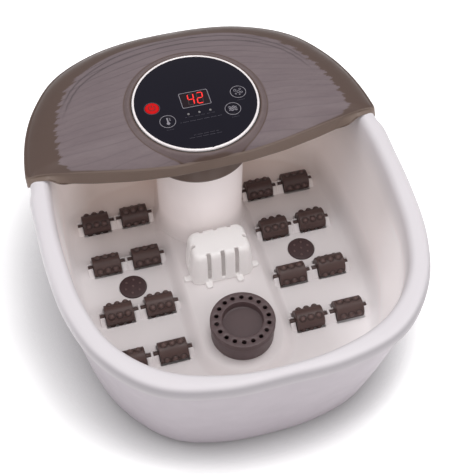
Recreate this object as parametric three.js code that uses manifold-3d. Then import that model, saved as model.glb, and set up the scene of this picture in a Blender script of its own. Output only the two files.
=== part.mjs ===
// Foot spa basin: moulded tub with massage rollers, heater guard, herb box and a
// rear hood that carries the round control panel. Millimetres, +Z up, the basin
// stands on z = 0 and its bounding box is centred on the Z axis. The user sits in
// front (-Y); the hood and the panel are at the back (+Y).
import * as THREE from 'three';
import * as BufferGeometryUtils from 'three/addons/utils/BufferGeometryUtils.js';
import Module from 'manifold-3d';

const wasm = await Module();
wasm.setup();

// ---------------------------------------------------------------- dimensions
const SEG = 44;                 // divisions round the basin
const CY = -8.9;                // centre of the polar plan curves
const WALL = 2.6;               // tub wall
const FLOOR_Z = 24;             // floor top
const FLOOR_T = 2.8;            // floor thickness
const PLAT_Z = 33.4;            // centre platform top
const ROLL_Z = 28;              // roller axis height
const ROLL_R = 13;              // roller radius over the knobs
const ROLL_L = 30.4;            // roller body length
const PIN_R = 2.0;              // roller pin radius
const PIN_L = 4.2;              // roller pin length
const ROLL_X = [75.2, 120.0];   // roller centres, each side
const ROLL_Y = [-82.9, -22.4, 44.6, 105.1];
const CAP_X = 97.6, CAP_Y = 10.1, CAP_R = 15;
const PANEL_Y = 95.1, PANEL_Z = 204, PANEL_TILT = THREE.MathUtils.degToRad(2.5);
const RING_R = 65.5;            // bright ring centre line
const COL_Y = 87.5, COL_R = 47.5;
const COLLAR_R = 58, COLLAR_Z = 140;
const HERB_Y = -86.0, HERB_R = 34.3, HERB_TOP = 61.5;
const GUARD_Y = 7;
const FOOT_H = 6, BASE_Z = 6, BASE_T = 2.6;

// ---------------------------------------------------------------- materials
const mat = (color, roughness = 0.5, metalness = 0) =>
  new THREE.MeshStandardMaterial({ color, roughness, metalness });
const M = {
  white: mat(0xe6e2e4, 0.35), shell: mat(0xcdc3cb, 0.4), brown: mat(0x85796f, 0.4),
  grain: mat(0x857974, 0.35), dark: mat(0x42342f, 0.45), darker: mat(0x3e2d2d, 0.5),
  herb: mat(0x605250, 0.5), panel: mat(0x2b2936, 0.08), chrome: mat(0xf0eeee, 0.15, 1),
  display: mat(0x17141a, 0.1), grey: mat(0xb9b6bc, 0.4), red: mat(0xff1414, 0.3),
  pcb: mat(0x1d6b3a, 0.6), rubber: mat(0x2a2a2a, 0.9), steel: mat(0xb8bcc0, 0.3, 1),
  black: mat(0x222226, 0.6), hose: mat(0xd8d8d0, 0.5), lamp: mat(0xd9d4c0, 0.3),
};

// ---------------------------------------------------------------- helpers
const root = new THREE.Group();

function clean(geometry) {
  const g = geometry.clone();
  for (const k of Object.keys(g.attributes)) if (k !== 'position') g.deleteAttribute(k);
  return BufferGeometryUtils.mergeVertices(g, 1e-4);
}
function signedVolume(g) {
  const p = g.attributes.position, ix = g.index;
  let v = 0;
  const a = new THREE.Vector3(), b = new THREE.Vector3(), c = new THREE.Vector3();
  for (let i = 0; i < ix.count; i += 3) {
    a.fromBufferAttribute(p, ix.getX(i)); b.fromBufferAttribute(p, ix.getX(i + 1)); c.fromBufferAttribute(p, ix.getX(i + 2));
    v += a.dot(b.clone().cross(c));
  }
  return v / 6;
}
function outward(g) {
  if (signedVolume(g) < 0) {
    const a = g.index.array;
    for (let i = 0; i < a.length; i += 3) { const t = a[i]; a[i] = a[i + 1]; a[i + 1] = t; }
  }
  return g;
}
function solid(geometry) {
  const g = outward(clean(geometry));
  return new wasm.Manifold(new wasm.Mesh({
    numProp: 3,
    vertProperties: new Float32Array(g.attributes.position.array),
    triVerts: new Uint32Array(g.index.array),
  }));
}
function geo(manifold) {
  const m = manifold.getMesh();
  const g = new THREE.BufferGeometry();
  const n = m.vertProperties.length / m.numProp;
  const pos = new Float32Array(n * 3);
  for (let i = 0; i < n; i++) for (let k = 0; k < 3; k++) pos[3 * i + k] = m.vertProperties[i * m.numProp + k];
  g.setAttribute('position', new THREE.BufferAttribute(pos, 3));
  g.setIndex(new THREE.BufferAttribute(new Uint32Array(m.triVerts), 1));
  return g;
}
function add(name, shape, material, parent = root) {
  const g = shape.isBufferGeometry ? outward(clean(shape)) : geo(shape);
  g.computeVertexNormals();
  const mesh = new THREE.Mesh(g, material);
  mesh.name = name;
  parent.add(mesh);
  return mesh;
}
const move = (g, x, y, z) => g.clone().translate(x, y, z);
const box = (x0, x1, y0, y1, z0, z1) =>
  new THREE.BoxGeometry(x1 - x0, y1 - y0, z1 - z0).translate((x0 + x1) / 2, (y0 + y1) / 2, (z0 + z1) / 2);
// upright cylinder from z0 to z1
const cyl = (r, z0, z1, x = 0, y = 0, seg = 32, r2 = r) =>
  new THREE.CylinderGeometry(r2, r, z1 - z0, seg).rotateX(Math.PI / 2).translate(x, y, (z0 + z1) / 2);
const cylX = (r, x0, x1, y, z, seg = 16) =>
  new THREE.CylinderGeometry(r, r, x1 - x0, seg).rotateZ(-Math.PI / 2).translate((x0 + x1) / 2, y, z);
// revolved solid about Z; the profile runs from axis to axis or closes on itself
const turned = (pts, seg = 32) =>
  new THREE.LatheGeometry(pts.map(([r, z]) => new THREE.Vector2(r, z)), seg).rotateX(Math.PI / 2);
function plate(outline, holes, z0, z1) {
  const s = new THREE.Shape(outline.map(([x, y]) => new THREE.Vector2(x, y)));
  for (const h of holes) s.holes.push(new THREE.Path(h.map(([x, y]) => new THREE.Vector2(x, y))));
  return new THREE.ExtrudeGeometry(s, { depth: z1 - z0, bevelEnabled: false }).translate(0, 0, z0);
}
const circle = (r, n, x = 0, y = 0) => Array.from({ length: n }, (_, i) => {
  const t = 2 * Math.PI * i / n; return [x + r * Math.cos(t), y + r * Math.sin(t)];
});
function roundedRect(w, h, r, x = 0, y = 0, n = 4) {
  const out = [];
  for (const [sx, sy, a0] of [[1, -1, -90], [1, 1, 0], [-1, 1, 90], [-1, -1, 180]]) {
    for (let i = 0; i <= n; i++) {
      const a = THREE.MathUtils.degToRad(a0 + 90 * i / n);
      out.push([x + sx * (w / 2 - r) + r * Math.cos(a), y + sy * (h / 2 - r) + r * Math.sin(a)]);
    }
  }
  return out;
}
const lerp = (a, b, t) => a + (b - a) * t;

// Symmetric plan curve through points from the front centre to the back centre,
// as a polar function about (0, CY). Angle 0 is the front.
function planCurve(points) {
  const P = points.map(([x, y]) => ({ t: Math.atan2(x, -(y - CY)), r: Math.hypot(x, y - CY) }));
  const n = P.length;
  const slope = P.map((p, i) => {
    if (i === 0 || i === n - 1) return 0;
    return (P[i + 1].r - P[i - 1].r) / (P[i + 1].t - P[i - 1].t);
  });
  return (phi) => {
    let a = Math.abs(Math.atan2(Math.sin(phi), Math.cos(phi)));
    a = Math.min(Math.max(a, P[0].t), P[n - 1].t);
    let i = 0;
    while (i < n - 2 && a > P[i + 1].t) i++;
    const h = P[i + 1].t - P[i].t, u = (a - P[i].t) / h;
    return (2 * u ** 3 - 3 * u * u + 1) * P[i].r + (u ** 3 - 2 * u * u + u) * h * slope[i]
      + (-2 * u ** 3 + 3 * u * u) * P[i + 1].r + (u ** 3 - u * u) * h * slope[i + 1];
  };
}
const at = (r, phi) => [r * Math.sin(phi), CY - r * Math.cos(phi)];

// Closed surface through rings. A ring is a function of the angle giving
// [x, y, z]; a plain array is a single point that ends the surface. Without end
// points the last ring joins the first.
function loft(rings, seg = SEG) {
  const pos = [], idx = [], start = [];
  for (const ring of rings) {
    start.push(pos.length / 3);
    if (typeof ring === 'function') for (let i = 0; i < seg; i++) pos.push(...ring(2 * Math.PI * i / seg));
    else pos.push(...ring);
  }
  const m = rings.length;
  const isF = rings.map((r) => typeof r === 'function');
  const pairs = [];
  for (let k = 0; k < m - 1; k++) pairs.push([k, k + 1]);
  if (isF[0] && isF[m - 1]) pairs.push([m - 1, 0]);
  for (const [a, b] of pairs) {
    if (!isF[a] && !isF[b]) continue;
    for (let i = 0; i < seg; i++) {
      const j = (i + 1) % seg;
      if (isF[a] && isF[b]) {
        idx.push(start[a] + i, start[a] + j, start[b] + j, start[a] + i, start[b] + j, start[b] + i);
      } else if (isF[a]) idx.push(start[a] + i, start[a] + j, start[b]);
      else idx.push(start[a], start[b] + j, start[b] + i);
    }
  }
  const g = new THREE.BufferGeometry();
  g.setAttribute('position', new THREE.BufferAttribute(new Float32Array(pos), 3));
  g.setIndex(idx);
  return outward(g);
}

// ---------------------------------------------------------------- plan curves
const outline = planCurve([[0, -227.3], [58, -225.4], [114.8, -207.4], [155.7, -164.1], [176.6, -110.7],
  [184, -57.9], [185.7, -8.9], [186, 30], [185.4, 55], [182.6, 85], [176, 116], [161, 152.6], [134, 189.2], [87, 215.4], [0, 227.3]]);
// the rim steps in where the hood's skirt wraps round it
const rimOuter = (phi) => {
  const r = outline(phi), y = CY - r * Math.cos(phi);
  const t = Math.min(1, Math.max(0, (y - 34) / 20));
  return r - 3.5 * t * t * (3 - 2 * t);
};
const rimInner = planCurve([[0, -212.5], [53.3, -207.7], [103.7, -188.5], [140.8, -149.7], [158.3, -100.3],
  [164.6, -52.9], [166.9, -8.9], [165.5, 35.1], [160.5, 83.1], [151, 123], [122, 156], [70, 168], [0, 170.5]]);
const floorEdge = planCurve([[0, -180], [50, -175], [95, -156], [129, -121], [144.5, -82], [149.5, -35],
  [150, 10], [149.5, 50], [147.5, 88], [141, 118], [112, 144], [68, 153], [0, 156]]);
const baseEdge = planCurve([[0, -193.5], [50, -190], [96, -174.9], [133, -138], [153, -96.9], [157.5, -50], [158.5, -8.9],
  [158, 40], [155, 90], [145, 135], [118, 172], [70, 193], [0, 199]]);
const rimZ = (y) => { const t = (Math.min(y, 40) - 11.1) / 100; return 181.2 + 4.2 * t + 1.9 * t * t; };
const R = (f, d = 0) => (phi) => f(phi) + d;
const mix = (f, g, t, d = 0) => (phi) => lerp(f(phi), g(phi), t) + d;
const ring = (rf, zf) => (phi) => { const [x, y] = at(rf(phi), phi); return [x, y, typeof zf === 'function' ? zf(y) : zf]; };
const rz = (d) => (y) => rimZ(y) + d;

// ---------------------------------------------------------------- inner tub
{
  const wallZ = [[0.40, 76], [0.60, 46], [0.80, 32.5], [1.0, 25]];
  const top = [
    ring(R(rimOuter), rz(-13)), ring(R(rimOuter), rz(-7.5)), ring(R(rimOuter, -1.6), rz(-2.6)),
    ring(R(rimOuter, -4.8), rz(0.2)), ring(mix(rimOuter, rimInner, 0.55), rz(1.2)),
    ring(R(rimInner, 3.2), rz(0.2)), ring(R(rimInner, 0.6), rz(-2.6)), ring(R(rimInner, -0.8), rz(-8)),
    ...wallZ.map(([t, z]) => ring(mix(rimInner, floorEdge, t), z)),
    ring(R(floorEdge, -7), FLOOR_Z), [0, CY, FLOOR_Z],
  ];
  const under = [
    [0, CY, FLOOR_Z - FLOOR_T], ring(R(floorEdge, -6), FLOOR_Z - FLOOR_T),
    ...wallZ.map(([t, z]) => ring(mix(rimInner, floorEdge, t, t > 0.7 ? 2 : WALL), z - (t > 0.7 ? 2.2 : 0.4))).reverse(),
    ring(R(rimInner, 2.0), rz(-9.5)), ring(R(rimInner, 4.4), rz(-4.2)), ring(mix(rimOuter, rimInner, 0.55), rz(-1.4)),
    ring(R(rimOuter, -6), rz(-2.4)), ring(R(rimOuter, -3.4), rz(-6)), ring(R(rimOuter, -2.6), rz(-13)),
  ];
  let tub = solid(loft([...top, ...under]));

  // raised centre platform that carries the guard and the herb box
  const plan = [[-46, 60], [-46, HERB_Y]];
  for (let i = 0; i <= 12; i++) { const a = Math.PI + Math.PI * i / 12; plan.push([46 * Math.cos(a), HERB_Y + 46 * Math.sin(a)]); }
  plan.push([46, 60]);
  const platform = (grow, z0, z1, draft) => {
    const seg = plan.length, lo = plan.map(([x, y]) => scaleOut(x, y, grow + draft)), hi = plan.map(([x, y]) => scaleOut(x, y, grow));
    const pos = [], idx = [];
    for (const [x, y] of lo) pos.push(x, y, z0);
    for (const [x, y] of hi) pos.push(x, y, z1);
    const cl = pos.length / 3; pos.push(0, -30, z0); pos.push(0, -30, z1);
    for (let i = 0; i < seg; i++) {
      const j = (i + 1) % seg;
      idx.push(i, j, seg + j, i, seg + j, seg + i, cl, j, i, cl + 1, seg + i, seg + j);
    }
    const g = new THREE.BufferGeometry();
    g.setAttribute('position', new THREE.BufferAttribute(new Float32Array(pos), 3));
    g.setIndex(idx);
    return g;
  };
  function scaleOut(x, y, d) {
    if (y > 50) return [x + Math.sign(x) * d, y];
    if (y >= HERB_Y) return [x + Math.sign(x) * d, y];
    const l = Math.hypot(x, y - HERB_Y);
    return [x * (l + d) / l, HERB_Y + (y - HERB_Y) * (l + d) / l];
  }
  tub = tub.add(solid(platform(0, FLOOR_Z - 1, PLAT_Z, 6)));

  // pillar under the control panel, joined to the back wall
  const pillar = (r, z0, z1, back) => {
    const o = [[r * 0.66, back]];
    for (let i = 0; i <= 18; i++) { const a = THREE.MathUtils.degToRad(20 - 220 * i / 18); o.push([r * Math.cos(a), COL_Y + r * Math.sin(a)]); }
    o.push([-r * 0.66, back]);
    return plate(o.reverse(), [], z0, z1);
  };
  tub = tub.add(solid(pillar(COL_R, FLOOR_Z - 1, COLLAR_Z - 0.3, 166)));
  tub = tub.subtract(solid(pillar(COL_R - 3, 10, COLLAR_Z - 3.3, 156)));
  tub = tub.subtract(solid(cyl(11, COLLAR_Z - 8, COLLAR_Z + 4, 0, PANEL_Y, 20)));
  tub = tub.subtract(solid(platform(-2.8, 10, PLAT_Z - 2.8, 6)));

  // roller wells
  const wx = ROLL_L / 2 + 0.9, wy = ROLL_R + 0.8, wb = ROLL_Z - ROLL_R - 1.2;
  for (const sx of [-1, 1]) for (const cx of ROLL_X) for (const y of ROLL_Y) {
    const x = sx * cx;
    tub = tub.add(solid(box(x - wx - 2, x + wx + 2, y - wy - 2, y + wy + 2, wb - 2, FLOOR_Z - 1)));
  }
  // bearing posts
  for (const sx of [-1, 1]) for (const y of ROLL_Y) {
    const b = (x0, x1) => sx > 0 ? box(x0, x1, y - 4.5, y + 4.5, FLOOR_Z - 1, ROLL_Z + 2.6) : box(-x1, -x0, y - 4.5, y + 4.5, FLOOR_Z - 1, ROLL_Z + 2.6);
    tub = tub.add(solid(b(54.2, 59.4))).add(solid(b(91.0, 104.2))).add(solid(b(135.8, 141.0)));
  }
  for (const sx of [-1, 1]) for (const cx of ROLL_X) for (const y of ROLL_Y) {
    const x = sx * cx;
    tub = tub.subtract(solid(box(x - wx, x + wx, y - wy, y + wy, wb, 45)));
  }
  for (const sx of [-1, 1]) for (const cx of ROLL_X) for (const y of ROLL_Y) {
    const x = sx * cx, h = ROLL_L / 2 + PIN_L + 0.4;
    tub = tub.subtract(solid(box(x - h, x + h, y - PIN_R - 0.3, y + PIN_R + 0.3, ROLL_Z - PIN_R - 0.3, ROLL_Z + 8)));
  }
  // seats of the bubble caps, with a passage for the cap's stem
  for (const sx of [-1, 1]) {
    tub = tub.subtract(solid(cyl(CAP_R + 0.3, FLOOR_Z - 1.3, FLOOR_Z + 5, sx * CAP_X, CAP_Y, 20)));
    tub = tub.subtract(solid(cyl(4.4, 10, FLOOR_Z + 5, sx * CAP_X, CAP_Y, 10)));
  }
  // seat of the heater plate in the platform
  tub = tub.subtract(solid(box(-20, 20, GUARD_Y - 10, GUARD_Y + 10, 20, 50)));
  add('inner_tub', tub, M.white);
}

// ---------------------------------------------------------------- outer shell
{
  const T = 2.4;
  const o = [
    ring(R(baseEdge, -7), BASE_Z), ring(R(baseEdge, -1.6), BASE_Z + 2.6), ring(R(baseEdge, 1.2), BASE_Z + 9),
    ring(mix(baseEdge, rimOuter, 0.46, 0.5), 86), ring(R(rimOuter, -4.6), rz(-17)), ring(R(rimOuter, -4.2), rz(-8.2)),
  ];
  const i = [
    ring(R(rimOuter, -4.2 - T), rz(-8.2)), ring(R(rimOuter, -4.6 - T), rz(-17)),
    ring(mix(baseEdge, rimOuter, 0.46, 0.5 - T), 86),
    ring(R(baseEdge, 1.2 - T), BASE_Z + 9), ring(R(baseEdge, -7), BASE_Z + 3.2),
  ];
  let shell = solid(loft([...o, ...i]));
  // hole for the cord gland, low at the back
  shell = shell.subtract(solid(new THREE.CylinderGeometry(6.4, 6.4, 40, 16).translate(0, 200, 34)));
  add('outer_shell', shell, M.shell);
}

// ---------------------------------------------------------------- base plate, feet, screws
const FEET = [[-98, -118], [98, -118], [-98, 128], [98, 128]];
const SCREWS = [[-40, -165], [40, -165], [-40, 178], [40, 178]];
{
  const outline = Array.from({ length: SEG }, (_, k) => at(baseEdge(2 * Math.PI * k / SEG) - 7.6, 2 * Math.PI * k / SEG));
  let base = solid(plate(outline, [], BASE_Z, BASE_Z + BASE_T));
  for (let k = -3; k <= 3; k++) base = base.subtract(solid(box(k * 12 - 2.5, k * 12 + 2.5, 111, 145, 0, 20)));
  for (const [x, y] of SCREWS) base = base.subtract(solid(cyl(2.4, 0, 20, x, y, 8)));
  for (const [x, y] of FEET) base = base.subtract(solid(cyl(4.6, 0, 20, x, y, 10)));
  add('base_plate', base, M.shell);
  FEET.forEach(([x, y], k) => {
    add(['foot_front_left', 'foot_front_right', 'foot_back_left', 'foot_back_right'][k],
      move(turned([[0, 0], [10.5, 0], [12, 1.2], [12, BASE_Z - 0.3], [4, BASE_Z - 0.3], [4, 10.2], [0, 10.2]], 16), x, y, 0), M.rubber);
  });
  SCREWS.forEach(([x, y], k) => {
    add(`base_screw_${k + 1}`,
      move(turned([[0, BASE_Z - 2.2], [3.4, BASE_Z - 2.2], [3.8, BASE_Z - 1.4], [3.8, BASE_Z - 0.3], [1.9, BASE_Z - 0.3], [1.9, 15.5], [0, 16.5]], 10), x, y, 0), M.steel);
  });
}

// ---------------------------------------------------------------- hood
// front edge of the hood: [x, y, z of the upper crease, z of the lower edge]
const FRONT = [[0, 22.5, 192, 178], [40, 26, 188.5, 174.5], [80, 35.5, 182.5, 168.5], [120, 46.5, 179.5, 165], [142, 50.5, 182, 168.5],
  [152, 51.5, 185.5, 174], [158, 52.2, 188.5, 184.6], [170, 54.5, 191, 184.8], [187, 59.5, 189.5, 182.5]];
const frontAt = (x) => {
  const a = Math.min(186.9, Math.abs(x));
  let i = 0;
  while (a > FRONT[i + 1][0]) i++;
  const t = (a - FRONT[i][0]) / (FRONT[i + 1][0] - FRONT[i][0]);
  return [1, 2, 3].map((k) => lerp(FRONT[i][k], FRONT[i + 1][k], t));
};
{
  // outline of the hood about the panel centre; angle 0 points to the front
  const half = [0, 9, 18, 27, 36, 44, 51, 57.5, 63, 67.5, 71, 73.2, 74.6, 76, 77.6, 79.1, 82, 88, 95, 103, 111, 119, 127, 135, 143, 151, 158.5, 165.5, 173, 180];
  const degrees = [...half, ...half.slice(1, -1).reverse().map((d) => 360 - d)];
  const N = degrees.length;
  // distance from the panel centre to the edge in direction a
  const edgePoint = (a, grow) => {
    const dx = Math.sin(a), dy = -Math.cos(a);
    let lo = 20, hi = 330;
    const inside = (x, y) => {
      const r = Math.hypot(x, y - CY), phi = Math.atan2(x, -(y - CY));
      return r < outline(phi) + grow && y > frontAt(x)[0] - grow;
    };
    for (let k = 0; k < 40; k++) { const m = (lo + hi) / 2; if (inside(dx * m, PANEL_Y + dy * m)) lo = m; else hi = m; }
    return lo;
  };
  const HOLE = 61.5, FLAT = 71;
  const zFlat = (y) => PANEL_Z - 2 + Math.tan(PANEL_TILT) * (y - PANEL_Y);
  const edgeZ = (x, y) => {
    const [yf, zf] = frontAt(x);
    const t = Math.min(1, Math.max(0, (y - yf) / 30));
    return lerp(zf, 188, t);
  };
  const height = (a, s, re) => {
    // s from 0 at the flat ring to 1 at the edge
    const r = lerp(FLAT, re, s);
    const x = r * Math.sin(a), y = PANEL_Y - r * Math.cos(a);
    const xe = re * Math.sin(a), ye = PANEL_Y - re * Math.cos(a);
    const z0 = zFlat(PANEL_Y - FLAT * Math.cos(a)) - 1, z1 = edgeZ(xe, ye);
    return [x, y, lerp(z0, z1, Math.pow(s, 1.6))];
  };
  const skirt = (x, y) => {
    const [yf, , zf] = frontAt(x);
    const t = Math.min(1, Math.max(0, (y - yf - 1) / 9));
    return lerp(zf, 171, t);
  };
  const pos = [], idx = [];
  const S = [0, 0.3, 0.6, 0.85];
  const push = (arr) => { for (const p of arr) pos.push(...p); };
  const A = degrees.map((d) => THREE.MathUtils.degToRad(d));
  const E = A.map((a) => edgePoint(a, 0));
  const polar = (a, r, z) => { const x = r * Math.sin(a), y = PANEL_Y - r * Math.cos(a); return [x, y, typeof z === 'function' ? z(x, y) : z]; };
  const layers = [];
  layers.push(A.map((a) => polar(a, HOLE, (x, y) => zFlat(y) - 5)));            // hole, lower edge
  layers.push(A.map((a) => polar(a, HOLE, (x, y) => zFlat(y) - 2.2)));          // seat of the panel
  layers.push(A.map((a) => polar(a, 69.4, (x, y) => zFlat(y) - 2.2)));
  layers.push(A.map((a) => polar(a, 69.8, (x, y) => zFlat(y) + 0.4)));          // raised collar
  for (const s of S) layers.push(A.map((a, i) => height(a, s, Math.max(E[i] - 2.4, FLAT + 0.6))));
  layers.push(A.map((a, i) => { const p = height(a, 1, Math.max(E[i] - 2.4, FLAT + 0.6)); const q = polar(a, E[i], 0); return [q[0], q[1], p[2] - 2.6]; }));
  layers.push(A.map((a, i) => polar(a, E[i], (x, y) => skirt(x, y))));
  layers.push(A.map((a, i) => polar(a, Math.max(E[i] - 2.5, HOLE + 1), (x, y) => skirt(x, y))));
  layers.push(A.map((a, i) => { const p = height(a, 1, Math.max(E[i] - 2.4, FLAT + 0.6)); const q = polar(a, Math.max(E[i] - 2.6, HOLE + 1), 0); return [q[0], q[1], p[2] - 5.2]; }));
  for (const s of [0.7, 0.3]) layers.push(A.map((a, i) => { const p = height(a, s, Math.max(E[i] - 5, FLAT + 0.6)); return [p[0], p[1], p[2] - 2.8]; }));
  layers.push(A.map((a) => polar(a, 66, (x, y) => zFlat(y) - 5)));
  layers.forEach(push);
  const L = layers.length;
  for (let k = 0; k < L; k++) {
    const a = k * N, b = ((k + 1) % L) * N;
    for (let i = 0; i < N; i++) { const j = (i + 1) % N; idx.push(a + i, a + j, b + j, a + i, b + j, b + i); }
  }
  const g = new THREE.BufferGeometry();
  g.setAttribute('position', new THREE.BufferAttribute(new Float32Array(pos), 3));
  g.setIndex(idx);
  add('hood_cover', outward(g), M.brown);
}

// ---------------------------------------------------------------- panel collar over the pillar
{
  const B = COLLAR_Z, T = 192.4;
  add('panel_collar', move(turned([[11, B], [56.4, B], [COLLAR_R, B + 1.6], [COLLAR_R, T], [COLLAR_R - 2.4, T],
    [COLLAR_R - 2.4, B + 2.6], [11, B + 2.6], [11, B]], 36), 0, PANEL_Y, 0), M.brown);
}

// ---------------------------------------------------------------- control panel
const BUTTONS = { power_button: [-45.8, 1.4], bubble_button: [45.8, 1.4], temp_button: [-34.3, -19.7], massage_button: [34.3, -19.7] };
{
  const panel = new THREE.Group();
  panel.position.set(0, PANEL_Y, PANEL_Z);
  panel.rotation.x = PANEL_TILT;
  root.add(panel);
  add('panel_tray', turned([[0, -9], [60.8, -9], [60.8, -3.9], [69, -3.9], [69, -2.5], [59, -2.5], [59, -7.6], [0, -7.6]], 36), M.darker, panel);
  add('panel_bezel', turned([[63.9, -2.2], [67.3, -2.2], [67.3, 0.2], [65.6, 1.3], [63.9, 0.2], [63.9, -2.2]], 48), M.chrome, panel);
  const B = Object.values(BUTTONS);
  const LAMPS = [[-11.6, -15.2], [0, -15.2], [11.6, -15.2]];
  const holes = [...B.map(([x, y]) => circle(7.7, 16, x, y).reverse()), roundedRect(29, 19.4, 1.5, 0, 3.5, 1).reverse(),
    ...LAMPS.map(([x, y]) => circle(1.8, 8, x, y).reverse())];
  add('panel_disc', plate(circle(63.4, 48), holes, -2.2, -0.2), M.panel, panel);
  add('display_window', plate(roundedRect(28.4, 18.8, 1.2, 0, 3.5, 1), [], -2.2, -0.1), M.display, panel);
  add('display_module', box(-13.5, 13.5, -4.8, 11.8, -5.6, -2.5), M.black, panel);
  LAMPS.forEach(([x, y], k) => add(`lamp_${k + 1}`, cyl(1.35, -5.6, -0.15, x, y, 8), M.lamp, panel));
  for (const [name, [x, y]] of Object.entries(BUTTONS)) {
    add(name, move(turned([[0, -4.4], [8.3, -4.4], [8.3, -3.4], [7.25, -3.4], [7.25, -0.2], [6.7, 0.35], [0, 0.35]], 16), x, y, 0),
      name === 'power_button' ? M.red : M.panel, panel);
  }
  add('control_pcb', cyl(56, -7.3, -5.9, 0, 0, 24), M.pcb, panel);
}

// ---------------------------------------------------------------- massage rollers
{
  const h = ROLL_L / 2;
  const shape = turned([[0, -h - PIN_L], [PIN_R, -h - PIN_L], [PIN_R, -h], [ROLL_R, -h], [ROLL_R, h], [PIN_R, h], [PIN_R, h + PIN_L], [0, h + PIN_L]], 10)
    .rotateY(Math.PI / 2);
  for (const [side, sx] of [['left', -1], ['right', 1]]) {
    ROLL_Y.forEach((y, k) => {
      ROLL_X.forEach((x, m) => {
        const mesh = add(`roller_${side}_${k + 1}_${m ? 'outer' : 'inner'}`, shape, M.dark);
        mesh.position.set(sx * x, y, ROLL_Z);
      });
    });
  }
}

// ---------------------------------------------------------------- bubble caps
for (const [side, sx] of [['left', -1], ['right', 1]]) {
  add(`bubble_cap_${side}`, move(turned([[0, 11], [4, 11], [4, FLOOR_Z - 1], [CAP_R, FLOOR_Z - 1], [CAP_R, FLOOR_Z + 0.2], [CAP_R - 1.6, FLOOR_Z + 0.9], [0, FLOOR_Z + 1.5]], 20), sx * CAP_X, CAP_Y, 0), M.darker);
}

// ---------------------------------------------------------------- heater guard and what it covers
{
  const level = (w, d, r, z, y) => roundedRect(w, d, r, 0, y, 3).map(([x, yy]) => [x, yy, z]);
  const shellOf = (levels, capIn) => {
    const pos = [], idx = [], n = levels[0].length;
    levels.forEach((l) => l.forEach((p) => pos.push(...p)));
    const c0 = pos.length / 3;
    const c = (l) => [l.reduce((a, p) => a + p[0], 0) / n, l.reduce((a, p) => a + p[1], 0) / n, l[0][2]];
    pos.push(...c(levels[0]), ...c(levels[levels.length - 1]));
    for (let k = 0; k < levels.length - 1; k++) for (let i = 0; i < n; i++) {
      const j = (i + 1) % n, a = k * n, b = (k + 1) * n;
      idx.push(a + i, a + j, b + j, a + i, b + j, b + i);
    }
    const last = (levels.length - 1) * n;
    for (let i = 0; i < n; i++) { const j = (i + 1) % n; idx.push(c0, j, i, c0 + 1, last + i, last + j); }
    const g = new THREE.BufferGeometry();
    g.setAttribute('position', new THREE.BufferAttribute(new Float32Array(pos), 3));
    g.setIndex(idx);
    return solid(g);
  };
  const zb = PLAT_Z + 0.3;
  let guard = shellOf([level(70, 43, 9, zb, GUARD_Y), level(66, 40, 9, 62, GUARD_Y + 0.6), level(64.5, 38.5, 9, 70, GUARD_Y + 0.8), level(61, 35.5, 8, 75.5, GUARD_Y + 1), level(55, 30, 7, 77.5, GUARD_Y + 1)]);
  guard = guard.subtract(shellOf([level(65.6, 38.6, 7, zb - 1, GUARD_Y), level(61.6, 35.6, 7, 62, GUARD_Y + 0.6), level(59.5, 34, 7, 70, GUARD_Y + 0.8), level(54, 29, 6, 75, GUARD_Y + 1)]));
  for (const x of [-15.5, 0, 15.5]) {
    guard = guard.subtract(solid(box(x - 2.2, x + 2.2, GUARD_Y - 30, GUARD_Y - 13, 39, 90)));
    guard = guard.subtract(solid(box(x - 2.2, x + 2.2, GUARD_Y + 15.5, GUARD_Y + 30, 39, 90)));
  }
  for (const s of [-1, 1]) guard = guard.subtract(solid(box(s > 0 ? 26.5 : -42, s > 0 ? 42 : -26.5, GUARD_Y - 1.4, GUARD_Y + 3, 39, 90)));
  for (const x of [-17.5, 17.5]) guard = guard.add(solid(box(x - 3.6, x + 3.6, GUARD_Y - 29, GUARD_Y - 20.5, zb, zb + 3.2)));
  for (const s of [-1, 1]) guard = guard.add(solid(box(s > 0 ? 34 : -42.5, s > 0 ? 42.5 : -34, GUARD_Y - 14, GUARD_Y - 7, zb, zb + 3.2)));
  add('heater_guard', guard, M.white);

  let plateS = solid(box(-19.7, 19.7, GUARD_Y - 9.7, GUARD_Y + 9.7, PLAT_Z - 2.6, PLAT_Z + 0.1));
  for (const [x, r] of [[-12, 4.3], [12, 4.3], [0, 2.9]]) plateS = plateS.subtract(solid(cyl(r, 20, 50, x, GUARD_Y, 16)));
  add('heater_plate', plateS, M.black);
  const path = new THREE.CurvePath();
  const pts = [[-12, 13], [-12, 50]];
  for (let i = 1; i < 8; i++) { const a = Math.PI - Math.PI * i / 8; pts.push([12 * Math.cos(a), 50 + 12 * Math.sin(a)]); }
  pts.push([12, 50], [12, 13]);
  const curve = new THREE.CatmullRomCurve3(pts.map(([x, z]) => new THREE.Vector3(x, GUARD_Y, z)), false, 'centripetal');
  add('heater_element', new THREE.ExtrudeGeometry(new THREE.Shape(circle(3.7, 8).map(([x, y]) => new THREE.Vector2(x, y))),
    { extrudePath: curve, steps: 20, bevelEnabled: false }), M.steel);
  add('temp_sensor', move(turned([[0, 22], [2.5, 22], [2.5, 46], [1.6, 48], [0, 48.4]], 12), 0, GUARD_Y, 0), M.steel);
}

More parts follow.
